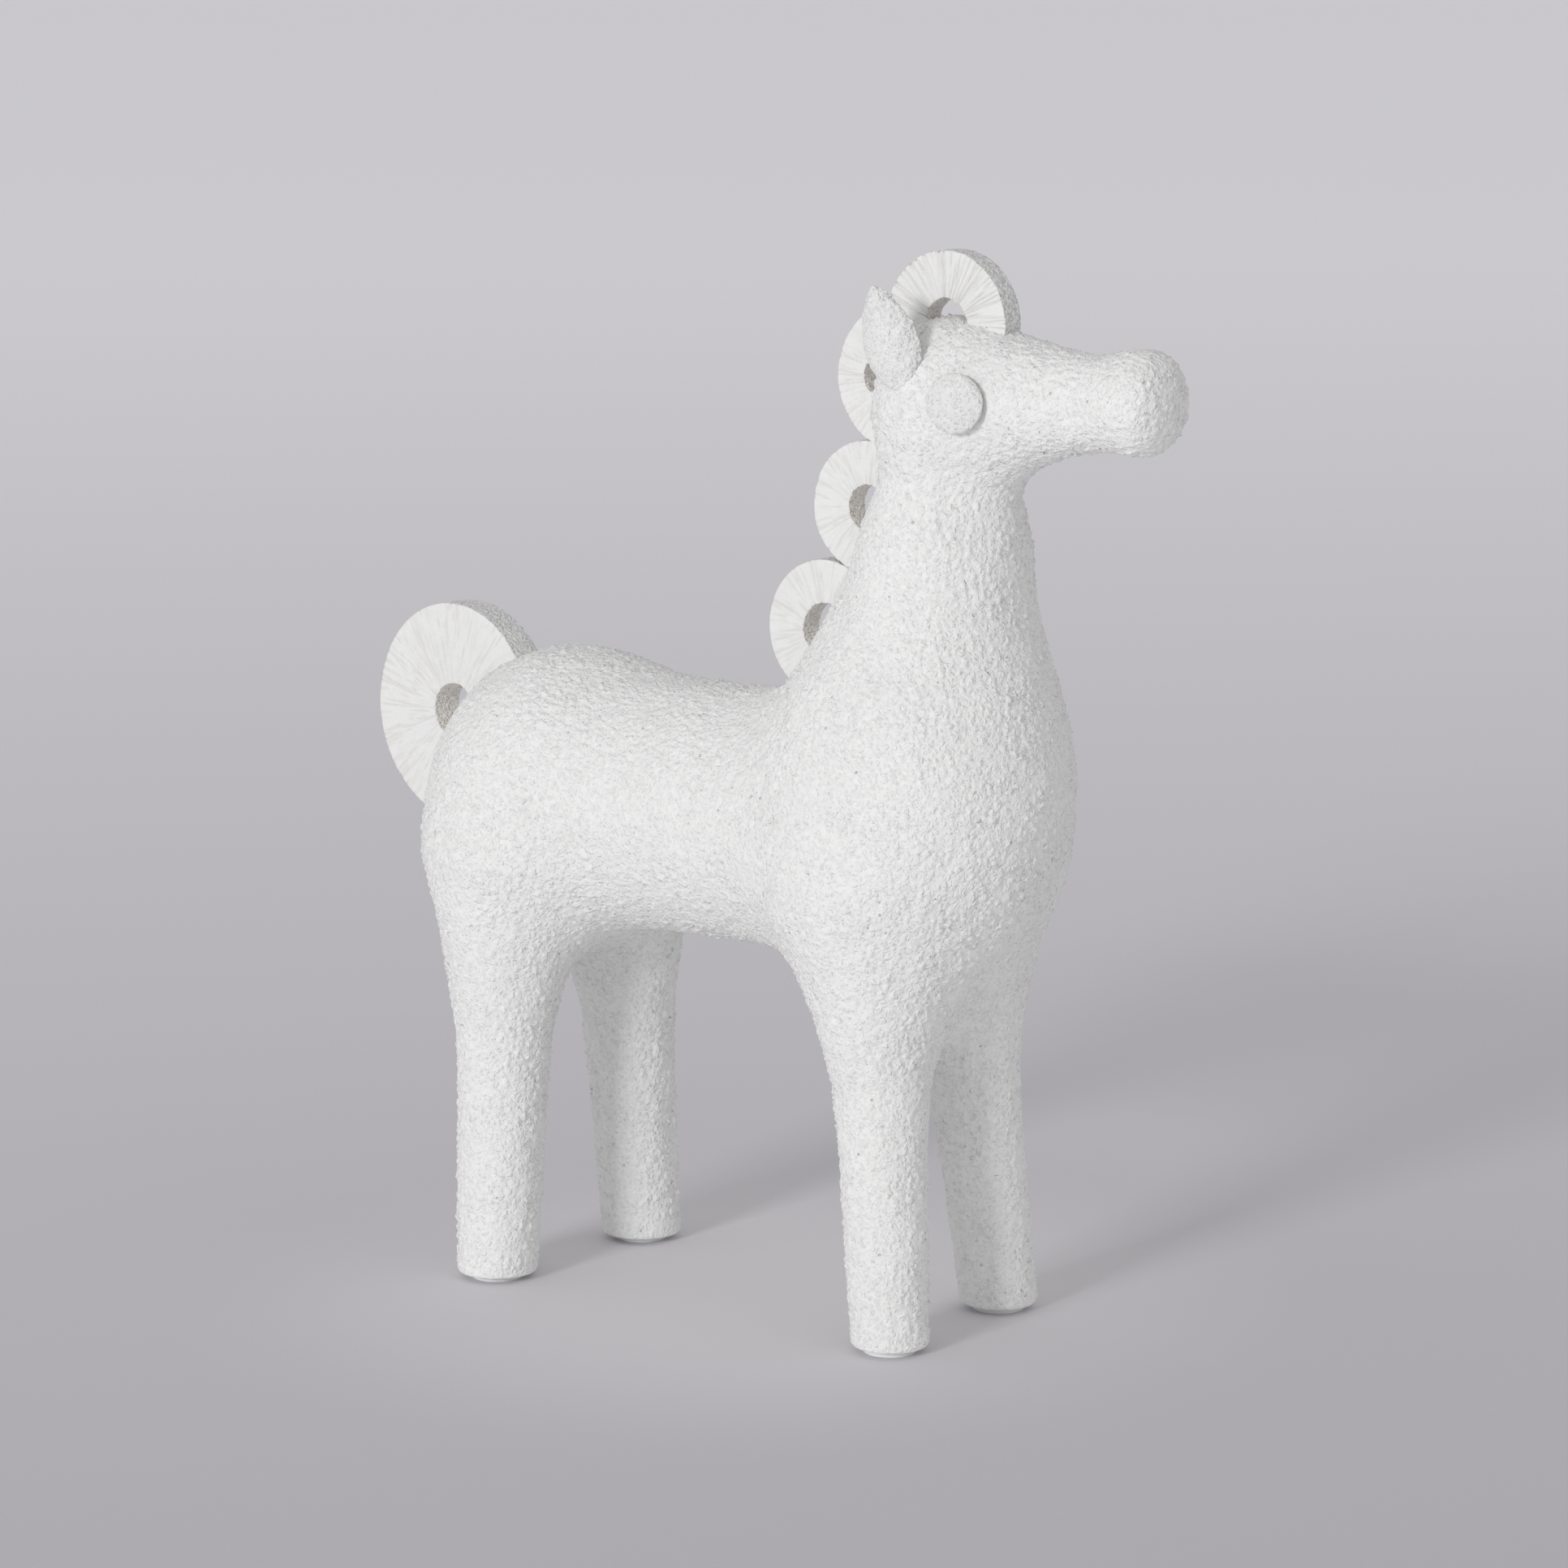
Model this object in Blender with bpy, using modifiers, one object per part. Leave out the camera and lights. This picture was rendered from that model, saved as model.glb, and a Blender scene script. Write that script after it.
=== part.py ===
"""Horse figurine in white glazed stoneware, standing on four thin round pads.

Metres, +Z up. The horse looks along +X and its left side is at +Y. The origin is on the
ground under the middle of the figure. The horse is one fired piece: trunk, neck, head and
legs are tapered rolls and balls of clay smoothed into each other, and the pierced discs of
the mane and tail, the ears and the eyes are luted on.
"""

import math
from collections import namedtuple

import bmesh
import bpy
from mathutils import Matrix, Vector

# Foot pads, and the gap that keeps each one clear of its foot
PAD_RADIUS = 0.011
PAD_THICKNESS = 0.002
PAD_EDGE = 0.0004
PAD_GAP = 0.0003
PAD_SIDES = 28

# Legs: where each foot stands, and how thick a leg is at its foot, knee and hip
FRONT_RIGHT_X = 0.0985
FRONT_RIGHT_Y = -0.040
FRONT_LEFT_X = 0.0935
FRONT_LEFT_Y = 0.045
REAR_RIGHT_X = -0.1125
REAR_RIGHT_Y = -0.048
REAR_LEFT_X = -0.1065
REAR_LEFT_Y = 0.045
FOOT_PLACES = {
    "front_right": (FRONT_RIGHT_X, FRONT_RIGHT_Y),
    "front_left": (FRONT_LEFT_X, FRONT_LEFT_Y),
    "rear_right": (REAR_RIGHT_X, REAR_RIGHT_Y),
    "rear_left": (REAR_LEFT_X, REAR_LEFT_Y),
}
FRONT_FOOT_RADIUS = 0.0167
REAR_FOOT_RADIUS = 0.0179
FOOT_ROUNDING = 0.005
KNEE_Z = 0.105
KNEE_BLEND = 0.004
FRONT_KNEE_RADIUS = 0.0196
REAR_KNEE_RADIUS = 0.0206
HIP_Z = 0.1856
FRONT_HIP_X = 0.0805
REAR_HIP_X = -0.1132
FRONT_HIP_Y = 0.0275
REAR_HIP_Y = 0.0371
FRONT_HIP_RADIUS = 0.0365
REAR_HIP_RADIUS = 0.0348
FRONT_LEG_BLEND = 0.056
REAR_LEG_BLEND = 0.0396

# Trunk: a barrel between a ball for the rump and a ball for the chest
RUMP_X = -0.105
RUMP_Z = 0.2117
RUMP_RADIUS = 0.0623
CHEST_X = 0.0844
CHEST_Z = 0.2445
CHEST_RADIUS = 0.0554
BARREL_Z = 0.2127
BARREL_RADIUS = 0.0552
BARREL_BLEND = 0.0306

# Neck and head: a taper up to the poll, a taper along the nose to its saddle, and from there a
# flare out to the round muzzle, whose end is flattened a little
NECK_BASE_RADIUS = 0.0492
NECK_TOP_X = 0.0951
NECK_TOP_Z = 0.3275
NECK_TOP_RADIUS = 0.037
NECK_BLEND = 0.0638
POLL_X = 0.1023
POLL_Z = 0.3977
POLL_RADIUS = 0.0352
BRIDGE_FORWARD = 0.0591
BRIDGE_RISE = 0.0024
BRIDGE_RADIUS = 0.0209
SADDLE_FORWARD = 0.064
SADDLE_RISE = 0.0018
SADDLE_RADIUS = 0.0184
MUZZLE_FORWARD = 0.0915
MUZZLE_RISE = 0.0042
MUZZLE_RADIUS = 0.0222
MUZZLE_BLEND = 0.008
NOSE_REACH = 0.0172
NOSE_ROUNDING = 0.02

# Mane: a disc has its way along the neck line, in metres up from the chest's centre, and the
# direction that it stands off in, in degrees up from straight ahead. Its centre stands over the
# clay by one length, and its hole may be cut off its centre, towards the tail, by another.
MANE_THICKNESS = 0.0115
WITHERS_ALONG = 0.0457
WITHERS_DIRECTION = 172.7
WITHERS_OVER = 0.0112
WITHERS_RADIUS = 0.0298
WITHERS_HOLE = 0.0114
NECK_DISC_ALONG = 0.1026
NECK_DISC_DIRECTION = 174.1
NECK_DISC_OVER = 0.0015
NECK_DISC_RADIUS = 0.0281
NECK_DISC_HOLE = 0.0095
NAPE_ALONG = 0.1543
NAPE_DIRECTION = 164.6
NAPE_OVER = -0.0058
NAPE_RADIUS = 0.0303
NAPE_HOLE = 0.0076
NAPE_HOLE_BACK = 0.0088
FORELOCK_DIRECTION = 95.0
FORELOCK_OVER = -0.0033
FORELOCK_RADIUS = 0.0303
FORELOCK_HOLE = 0.0105
Disc = namedtuple("Disc", "name along direction over radius hole hole_back", defaults=[0.0])
MANE_DISCS = (
    Disc("withers", WITHERS_ALONG, WITHERS_DIRECTION, WITHERS_OVER, WITHERS_RADIUS, WITHERS_HOLE),
    Disc(
        "neck",
        NECK_DISC_ALONG,
        NECK_DISC_DIRECTION,
        NECK_DISC_OVER,
        NECK_DISC_RADIUS,
        NECK_DISC_HOLE,
    ),
    Disc("nape", NAPE_ALONG, NAPE_DIRECTION, NAPE_OVER, NAPE_RADIUS, NAPE_HOLE, NAPE_HOLE_BACK),
    Disc(
        "forelock",
        NAPE_ALONG,
        FORELOCK_DIRECTION,
        FORELOCK_OVER,
        FORELOCK_RADIUS,
        FORELOCK_HOLE,
    ),
)

# Tail: one larger disc on the rump
TAIL_THICKNESS = 0.015
TAIL_TURN = -5.0
TAIL_DIRECTION = 154.9
TAIL_OVER = 0.0095
TAIL_RADIUS = 0.0486
TAIL_HOLE = 0.0124
TAIL = Disc("tail", 0.0, TAIL_DIRECTION, TAIL_OVER, TAIL_RADIUS, TAIL_HOLE)
DISC_EDGE = 0.001
DISC_SIDES = 44

# Eyes: low domes on the sides of the head
EYE_RADIUS = 0.0125
EYE_DOME = 0.0034
EYE_RIM = 0.0015
EYE_DEPTH = 0.006
EYE_FORWARD = 0.0139
EYE_TURN = 3.0
EYE_SIDES = 26
EYE_RINGS = 4

# Ears: thick leaves that lean out from the top of the head. The first power puts an ear's
# widest place below its middle, and the second makes its outline fuller.
EAR_LENGTH = 0.0445
EAR_WIDTH = 0.0258
EAR_THICKNESS = 0.0065
EAR_CUP = 0.003
EAR_LOW_POWER = 0.75
EAR_FULL_POWER = 0.7
EAR_BACK = 0.0053
EAR_SIDE = 0.033
EAR_RISE = 0.0063
EAR_LEAN = 8.5
EAR_TILT = 12.5
EAR_TURN = 12.0
EAR_SIDES = 16
EAR_RINGS = 12

# The clay's skin: how finely it is worked out, the margin round it, how fast the density falls
# through it, and the density that it is drawn at
SKIN_CELL = 0.004
SKIN_MARGIN = 0.012
SKIN_STEEPNESS = 0.1
SKIN_DENSITY = 0.5
SKIN_TRIANGLES = 5600

# Points nearer than this are one, and edges sharper than this many degrees look sharp
SPECK = 0.00001
SHARP_EDGE = 35.0

GLAZE_COLOUR = (0.80, 0.80, 0.79, 1.0)
GLAZE_ROUGHNESS = 0.7
PAD_COLOUR = (0.83, 0.83, 0.82, 1.0)
PAD_ROUGHNESS = 0.5

SOLE_Z = PAD_THICKNESS + PAD_GAP
CHEST = Vector((CHEST_X, 0.0, CHEST_Z))
NECK_TOP = Vector((NECK_TOP_X, 0.0, NECK_TOP_Z))
POLL = Vector((POLL_X, 0.0, POLL_Z))
RUMP = Vector((RUMP_X, 0.0, RUMP_Z))
BRIDGE = POLL + Vector((BRIDGE_FORWARD, 0.0, BRIDGE_RISE))
SADDLE = POLL + Vector((SADDLE_FORWARD, 0.0, SADDLE_RISE))
MUZZLE = POLL + Vector((MUZZLE_FORWARD, 0.0, MUZZLE_RISE))

# A limb is a taper with round ends. A roll is one or more limbs that run into each other by
# the inner blend, and together into the rest of the clay by the other.
Limb = namedtuple("Limb", "start end start_radius end_radius")
Roll = namedtuple("Roll", "limbs inner_blend blend")


def leg_limbs(foot_place):
    """The two limbs of a leg: from under the sole up to the knee, and on to the hip."""
    foot_x, foot_y = foot_place
    front = foot_x > 0.0
    hip_x = FRONT_HIP_X if front else REAR_HIP_X
    hip_y = math.copysign(FRONT_HIP_Y if front else REAR_HIP_Y, foot_y)
    foot_radius = FRONT_FOOT_RADIUS if front else REAR_FOOT_RADIUS
    knee_radius = FRONT_KNEE_RADIUS if front else REAR_KNEE_RADIUS
    hip_radius = FRONT_HIP_RADIUS if front else REAR_HIP_RADIUS
    foot = Vector((foot_x, foot_y, SOLE_Z))
    hip = Vector((hip_x, hip_y, HIP_Z))
    knee = foot.lerp(hip, (KNEE_Z - SOLE_Z) / (HIP_Z - SOLE_Z))
    # The limb starts a foot's radius under the sole, so that the cut is full width
    share = foot_radius / (knee - foot).length
    below = foot.lerp(knee, -share)
    below_radius = foot_radius - (knee_radius - foot_radius) * share
    return Limb(below, knee, below_radius, knee_radius), Limb(knee, hip, knee_radius, hip_radius)


def feed(tree, socket, value):
    """Set a node's input, or link it where the value is another node's output."""
    if isinstance(value, bpy.types.NodeSocket):
        tree.links.new(value, socket)
    else:
        socket.default_value = value


def maths(tree, operation, *values):
    """A Math node's output."""
    node = tree.nodes.new("ShaderNodeMath")
    node.operation = operation
    for socket, value in zip(node.inputs, values):
        feed(tree, socket, value)
    return node.outputs["Value"]


def vector_maths(tree, operation, *values):
    """A Vector Math node's output."""
    node = tree.nodes.new("ShaderNodeVectorMath")
    node.operation = operation
    for socket, value in zip(node.inputs, values):
        feed(tree, socket, value)
    gives_number = operation in {"DOT_PRODUCT", "LENGTH"}
    return node.outputs["Value" if gives_number else "Vector"]


def limb_distance_group():
    """Node group: how far a point lies outside a tapered limb of clay with round ends."""
    group = bpy.data.node_groups.new("limb_distance", "GeometryNodeTree")
    sockets = group.interface
    for name in ("Point", "Start", "End"):
        sockets.new_socket(name, in_out="INPUT", socket_type="NodeSocketVector")
    for name in ("Start Radius", "End Radius"):
        sockets.new_socket(name, in_out="INPUT", socket_type="NodeSocketFloat")
    sockets.new_socket("Distance", in_out="OUTPUT", socket_type="NodeSocketFloat")
    given = group.nodes.new("NodeGroupInput").outputs
    axis = vector_maths(group, "SUBTRACT", given["End"], given["Start"])
    offset = vector_maths(group, "SUBTRACT", given["Point"], given["Start"])
    along = vector_maths(group, "DOT_PRODUCT", offset, axis)
    length_squared = vector_maths(group, "DOT_PRODUCT", axis, axis)
    share = maths(group, "DIVIDE", along, length_squared)
    share.node.use_clamp = True
    reach = group.nodes.new("ShaderNodeVectorMath")
    reach.operation = "SCALE"
    feed(group, reach.inputs["Vector"], axis)
    feed(group, reach.inputs["Scale"], share)
    beside = vector_maths(group, "SUBTRACT", offset, reach.outputs["Vector"])
    taper = maths(group, "SUBTRACT", given["End Radius"], given["Start Radius"])
    radius = maths(group, "MULTIPLY_ADD", share, taper, given["Start Radius"])
    distance = maths(group, "SUBTRACT", vector_maths(group, "LENGTH", beside), radius)
    result = group.nodes.new("NodeGroupOutput")
    group.links.new(distance, result.inputs["Distance"])
    return group


def limb_distance(tree, group, point, limb):
    """The distance of the field's point from one limb."""
    node = tree.nodes.new("GeometryNodeGroup")
    node.node_tree = group
    feed(tree, node.inputs["Point"], point)
    node.inputs["Start"].default_value = limb.start
    node.inputs["End"].default_value = limb.end
    node.inputs["Start Radius"].default_value = limb.start_radius
    node.inputs["End Radius"].default_value = limb.end_radius
    return node.outputs["Distance"]


def ball(centre, radius):
    """A round lump of clay, as a limb of no length."""
    return Limb(centre, centre, radius, radius)


def clay_rolls():
    """The clay in the order that it is put together, from the barrel out to the legs."""
    back, front = Vector((RUMP_X, 0.0, BARREL_Z)), Vector((CHEST_X, 0.0, BARREL_Z))
    nose = Limb(POLL, BRIDGE, POLL_RADIUS, BRIDGE_RADIUS)
    muzzle = Limb(SADDLE, MUZZLE, SADDLE_RADIUS, MUZZLE_RADIUS)
    rolls = [
        Roll([Limb(back, front, BARREL_RADIUS, BARREL_RADIUS)], 0.0, BARREL_BLEND),
        Roll([ball(RUMP, RUMP_RADIUS)], 0.0, BARREL_BLEND),
        Roll([ball(CHEST, CHEST_RADIUS)], 0.0, BARREL_BLEND),
        Roll([Limb(CHEST, NECK_TOP, NECK_BASE_RADIUS, NECK_TOP_RADIUS)], 0.0, NECK_BLEND),
        Roll([nose, muzzle], MUZZLE_BLEND, NECK_BLEND),
    ]
    for place in FOOT_PLACES.values():
        blend = FRONT_LEG_BLEND if place[0] > 0.0 else REAR_LEG_BLEND
        rolls.append(Roll(leg_limbs(place), KNEE_BLEND, blend))
    return rolls


def clay_bounds():
    """The box that the clay's skin is looked for in."""
    corners = []
    for limb in [limb for roll in clay_rolls() for limb in roll.limbs]:
        for centre, radius in ((limb.start, limb.start_radius), (limb.end, limb.end_radius)):
            spread = Vector((radius, radius, radius))
            corners += [centre - spread, centre + spread]
    low = [min(corner[axis] for corner in corners) - SKIN_MARGIN for axis in range(3)]
    high = [max(corner[axis] for corner in corners) + SKIN_MARGIN for axis in range(3)]
    return low, high


def clay_tree():
    """Geometry nodes that give the skin of all the limbs, run together and cut at the soles."""
    tree = bpy.data.node_groups.new("smoothed_clay", "GeometryNodeTree")
    tree.interface.new_socket("Geometry", in_out="OUTPUT", socket_type="NodeSocketGeometry")
    group = limb_distance_group()
    point = tree.nodes.new("GeometryNodeInputPosition").outputs["Position"]
    clay = None
    for roll in clay_rolls():
        step = limb_distance(tree, group, point, roll.limbs[0])
        for limb in roll.limbs[1:]:
            distance = limb_distance(tree, group, point, limb)
            step = maths(tree, "SMOOTH_MIN", step, distance, roll.inner_blend)
        clay = step if clay is None else maths(tree, "SMOOTH_MIN", clay, step, roll.blend)
    place = tree.nodes.new("ShaderNodeSeparateXYZ")
    tree.links.new(point, place.inputs["Vector"])
    beyond = maths(tree, "SUBTRACT", place.outputs["X"], MUZZLE.x + NOSE_REACH)
    clay = maths(tree, "SMOOTH_MAX", clay, beyond, NOSE_ROUNDING)
    # The skin ends a part of a cell under the sole, so that the plane cut after it is flat
    under = maths(tree, "SUBTRACT", SOLE_Z - SKIN_CELL / 4, place.outputs["Z"])
    clay = maths(tree, "SMOOTH_MAX", clay, under, FOOT_ROUNDING)
    density = maths(tree, "MULTIPLY_ADD", clay, -SKIN_STEEPNESS / SKIN_CELL, SKIN_DENSITY)
    density.node.use_clamp = True
    low, high = clay_bounds()
    cube = tree.nodes.new("GeometryNodeVolumeCube")
    cube.inputs["Min"].default_value = low
    cube.inputs["Max"].default_value = high
    for axis, letter in enumerate("XYZ"):
        cells = max(2, round((high[axis] - low[axis]) / SKIN_CELL))
        cube.inputs["Resolution " + letter].default_value = cells
    tree.links.new(density, cube.inputs["Density"])
    skin = tree.nodes.new("GeometryNodeVolumeToMesh")
    skin.inputs["Threshold"].default_value = SKIN_DENSITY
    tree.links.new(cube.outputs["Volume"], skin.inputs["Volume"])
    result = tree.nodes.new("NodeGroupOutput")
    tree.links.new(skin.outputs["Mesh"], result.inputs["Geometry"])
    return tree


def add_object(name, mesh, collection):
    """A new object in a collection."""
    thing = bpy.data.objects.new(name, mesh)
    collection.objects.link(thing)
    return thing


def bake_modifiers(thing):
    """Replace an object's mesh with what its modifiers make of it."""
    bpy.context.view_layer.update()
    evaluated = thing.evaluated_get(bpy.context.evaluated_depsgraph_get())
    mesh = bpy.data.meshes.new_from_object(evaluated)
    old = thing.data
    thing.modifiers.clear()
    thing.data = mesh
    bpy.data.meshes.remove(old)


def cut_soles(mesh):
    """Cut the feet flat at the height of the soles and close the cuts."""
    bm = bmesh.new()
    bm.from_mesh(mesh)
    whole = bm.verts[:] + bm.edges[:] + bm.faces[:]
    plane = Vector((0.0, 0.0, SOLE_Z))
    bmesh.ops.bisect_plane(
        bm, geom=whole, dist=SPECK / 10, plane_co=plane, plane_no=(0.0, 0.0, -1.0), clear_outer=True
    )
    open_edges = [edge for edge in bm.edges if edge.is_boundary]
    bmesh.ops.holes_fill(bm, edges=open_edges)
    bmesh.ops.triangulate(bm, faces=bm.faces[:])
    bm.to_mesh(mesh)
    bm.free()


def make_clay(collection):
    """Trunk, legs, neck and head, as one skin of the number of triangles asked for."""
    clay = add_object("horse", bpy.data.meshes.new("horse"), collection)
    nodes = clay.modifiers.new("clay", "NODES")
    nodes.node_group = clay_tree()
    bake_modifiers(clay)
    fewer = clay.modifiers.new("fewer", "DECIMATE")
    fewer.ratio = min(1.0, SKIN_TRIANGLES / (2 * len(clay.data.polygons)))
    bake_modifiers(clay)
    cut_soles(clay.data)
    return clay


def neck_line(along):
    """The centre and the radius of the neck at a way along it, up from the chest's centre."""
    lower = (NECK_TOP - CHEST).length
    upper = (POLL - NECK_TOP).length
    if along <= lower:
        share = along / lower
        radius = NECK_BASE_RADIUS + (NECK_TOP_RADIUS - NECK_BASE_RADIUS) * share
        return CHEST.lerp(NECK_TOP, share), radius
    share = min(1.0, (along - lower) / upper)
    radius = NECK_TOP_RADIUS + (POLL_RADIUS - NECK_TOP_RADIUS) * share
    return NECK_TOP.lerp(POLL, share), radius


def disc_centre(disc, centre, radius):
    """Where a disc's hole is: out from the clay's centre in the disc's own direction."""
    angle = math.radians(disc.direction)
    outwards = Vector((math.cos(angle), 0.0, math.sin(angle)))
    return centre + outwards * (radius + disc.over)


def turned(name, profile, sides, matrix, collection):
    """A closed turned shape about its own Z axis, placed by a matrix."""
    mesh = bpy.data.meshes.new(name)
    bm = bmesh.new()
    verts = [bm.verts.new((radius, 0.0, height)) for radius, height in profile]
    for first, second in zip(verts, verts[1:]):
        bm.edges.new((first, second))
    if profile[0][0] > 0.0:
        bm.edges.new((verts[-1], verts[0]))
    bm.to_mesh(mesh)
    bm.free()
    thing = add_object(name, mesh, collection)
    screw = thing.modifiers.new("turn", "SCREW")
    screw.steps = sides
    screw.render_steps = sides
    screw.use_merge_vertices = True
    screw.merge_threshold = SPECK
    bake_modifiers(thing)
    thing.data.transform(matrix)
    return thing


def make_disc(disc, centre, thickness, turn, collection):
    """A pierced disc, flat on both faces, upright and turned by some degrees."""
    half = thickness / 2
    outer, inner, edge = disc.radius, disc.hole, DISC_EDGE
    profile = [
        (outer - edge, half),
        (outer, half - edge),
        (outer, edge - half),
        (outer - edge, -half),
        (inner, -half),
        (inner, half),
    ]
    thing = turned(disc.name, profile, DISC_SIDES, Matrix.Identity(4), collection)
    for vert in thing.data.vertices:
        if math.hypot(vert.co.x, vert.co.y) < (inner + outer) / 2:
            vert.co.x -= disc.hole_back
    upright = Matrix.Rotation(math.radians(90.0), 4, "X")
    placed = Matrix.Translation(centre) @ Matrix.Rotation(math.radians(turn), 4, "Z") @ upright
    thing.data.transform(placed)
    return thing


def make_eye(side, collection):
    """One eye: a low dome with an upright rim, square to the taper of the head."""
    axis = BRIDGE - POLL
    share = EYE_FORWARD / axis.length
    radius = POLL_RADIUS + (BRIDGE_RADIUS - POLL_RADIUS) * share
    slope = math.atan2(POLL_RADIUS - BRIDGE_RADIUS, axis.length)
    turn = math.radians(EYE_TURN)
    outwards = Vector((math.sin(slope), side * math.cos(slope) * math.cos(turn), math.sin(turn)))
    outwards.normalize()
    seat = POLL.lerp(BRIDGE, share) + outwards * radius
    profile = []
    for ring in range(EYE_RINGS + 1):
        angle = math.radians(90.0) * ring / EYE_RINGS
        profile.append((EYE_RADIUS * math.sin(angle), EYE_RIM + EYE_DOME * math.cos(angle)))
    profile += [(EYE_RADIUS, -EYE_DEPTH), (0.0, -EYE_DEPTH)]
    placed = Matrix.Translation(seat) @ outwards.to_track_quat("Z", "Y").to_matrix().to_4x4()
    name = "eye_left" if side > 0 else "eye_right"
    return turned(name, profile, EYE_SIDES, placed, collection)


def make_ear(side, collection):
    """One ear: a thick leaf, pointed at both ends, its outer face rounded."""
    name = "ear_left" if side > 0 else "ear_right"
    mesh = bpy.data.meshes.new(name)
    bm = bmesh.new()
    half = EAR_LENGTH / 2
    bmesh.ops.create_uvsphere(bm, u_segments=EAR_SIDES, v_segments=EAR_RINGS, radius=half)
    for vert in bm.verts:
        height = max(0.0, vert.co.z + half)
        around = math.atan2(vert.co.y, vert.co.x)
        swell = math.sin(math.pi * (height / EAR_LENGTH) ** EAR_LOW_POWER)
        fullness = max(0.0, swell) ** EAR_FULL_POWER
        forwards, outwards = math.cos(around), math.sin(around)
        cup = EAR_CUP * forwards**2 * fullness
        vert.co = (
            forwards * fullness * EAR_WIDTH / 2,
            outwards * math.sqrt(fullness) * EAR_THICKNESS / 2 - cup,
            height,
        )
    bm.to_mesh(mesh)
    bm.free()
    seat = POLL + Vector((-EAR_BACK, EAR_SIDE, EAR_RISE))
    lean = Matrix.Rotation(math.radians(-EAR_LEAN), 4, "X")
    tilt = Matrix.Rotation(math.radians(-EAR_TILT), 4, "Y")
    turn = Matrix.Rotation(math.radians(-EAR_TURN), 4, "Z")
    mesh.transform(Matrix.Translation(seat) @ lean @ tilt @ turn)
    if side < 0:
        mesh.transform(Matrix.Diagonal((1.0, -1.0, 1.0, 1.0)))
        mesh.flip_normals()
    return add_object(name, mesh, collection)


def lute(horse, piece):
    """Join a piece onto the horse with a union, and drop the loose piece."""
    union = horse.modifiers.new("lute", "BOOLEAN")
    union.operation = "UNION"
    union.solver = "EXACT"
    union.object = piece
    bake_modifiers(horse)
    bpy.data.objects.remove(piece)


def tidy_mesh(mesh):
    """Merge the specks that the unions leave, and make the mesh all triangles and closed."""
    bm = bmesh.new()
    bm.from_mesh(mesh)
    bmesh.ops.remove_doubles(bm, verts=bm.verts[:], dist=SPECK)
    bmesh.ops.dissolve_degenerate(bm, dist=SPECK, edges=bm.edges[:])
    bmesh.ops.triangulate(bm, faces=bm.faces[:])
    # A triangle as thin as a speck can drop out above, and its gap is closed again
    bmesh.ops.holes_fill(bm, edges=[edge for edge in bm.edges if edge.is_boundary])
    bm.to_mesh(mesh)
    bm.free()


def principled(name, colour, roughness):
    """A plain material of one colour."""
    material = bpy.data.materials.new(name)
    material.use_nodes = True
    shader = material.node_tree.nodes["Principled BSDF"]
    shader.inputs["Base Color"].default_value = colour
    shader.inputs["Roughness"].default_value = roughness
    shader.inputs["Metallic"].default_value = 0.0
    return material


def make_horse(collection, loose):
    """The fired piece: the smoothed clay with everything luted onto it."""
    horse = make_clay(collection)
    pieces = []
    for disc in MANE_DISCS:
        centre = disc_centre(disc, *neck_line(disc.along))
        pieces.append(make_disc(disc, centre, MANE_THICKNESS, 0.0, loose))
    centre = disc_centre(TAIL, RUMP, RUMP_RADIUS)
    pieces.append(make_disc(TAIL, centre, TAIL_THICKNESS, TAIL_TURN, loose))
    for side in (-1, 1):
        pieces.append(make_eye(side, loose))
        pieces.append(make_ear(side, loose))
    for piece in pieces:
        lute(horse, piece)
    tidy_mesh(horse.data)
    horse.data.shade_smooth()
    horse.data.set_sharp_from_angle(angle=math.radians(SHARP_EDGE))
    horse.data.materials.clear()
    horse.data.materials.append(principled("white_stoneware", GLAZE_COLOUR, GLAZE_ROUGHNESS))
    return horse


def make_pads(collection):
    """One thin round pad on the ground under each foot."""
    profile = [
        (0.0, PAD_THICKNESS),
        (PAD_RADIUS - PAD_EDGE, PAD_THICKNESS),
        (PAD_RADIUS, PAD_THICKNESS - PAD_EDGE),
        (PAD_RADIUS, 0.0),
        (0.0, 0.0),
    ]
    pads = []
    for corner, (foot_x, foot_y) in FOOT_PLACES.items():
        pad = turned("foot_pad_" + corner, profile, PAD_SIDES, Matrix.Identity(4), collection)
        pad.location = (foot_x, foot_y, 0.0)
        pad.data.shade_smooth()
        pad.data.set_sharp_from_angle(angle=math.radians(SHARP_EDGE))
        pad.data.materials.append(principled("pad_" + corner, PAD_COLOUR, PAD_ROUGHNESS))
        pads.append(pad)
    return pads


def ground_centre(pieces, collection):
    """An empty that carries the pieces, moved so that the figure stands about the origin."""
    bpy.context.view_layer.update()
    corners = [piece.matrix_world @ Vector(corner) for piece in pieces for corner in piece.bound_box]
    middle = [(min(c[axis] for c in corners) + max(c[axis] for c in corners)) / 2 for axis in (0, 1)]
    carrier = add_object("ground_centre", None, collection)
    carrier.location = (-middle[0], -middle[1], 0.0)
    for piece in pieces:
        piece.parent = carrier


def main():
    for thing in list(bpy.data.objects):
        bpy.data.objects.remove(thing, do_unlink=True)
    scene = bpy.context.scene
    figure = bpy.data.collections.new("horse_figurine")
    loose = bpy.data.collections.new("loose_pieces")
    scene.collection.children.link(figure)
    scene.collection.children.link(loose)
    horse = make_horse(figure, loose)
    pads = make_pads(figure)
    ground_centre([horse] + pads, figure)


main()
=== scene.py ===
"""Looks of the horse figurine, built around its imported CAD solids.

Metres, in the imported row's frame: +X is the way the horse looks, +Y its left, +Z up. The fired
piece is made again with the grain of its grogged clay: the clay body as one skin cut into five
pieces, and the pierced discs, ears and eyes luted onto it. Four thin pads lie under the feet.
"""

import math
from collections import namedtuple

import bmesh
import bpy
import numpy as np
from mathutils import Matrix, Vector


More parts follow.
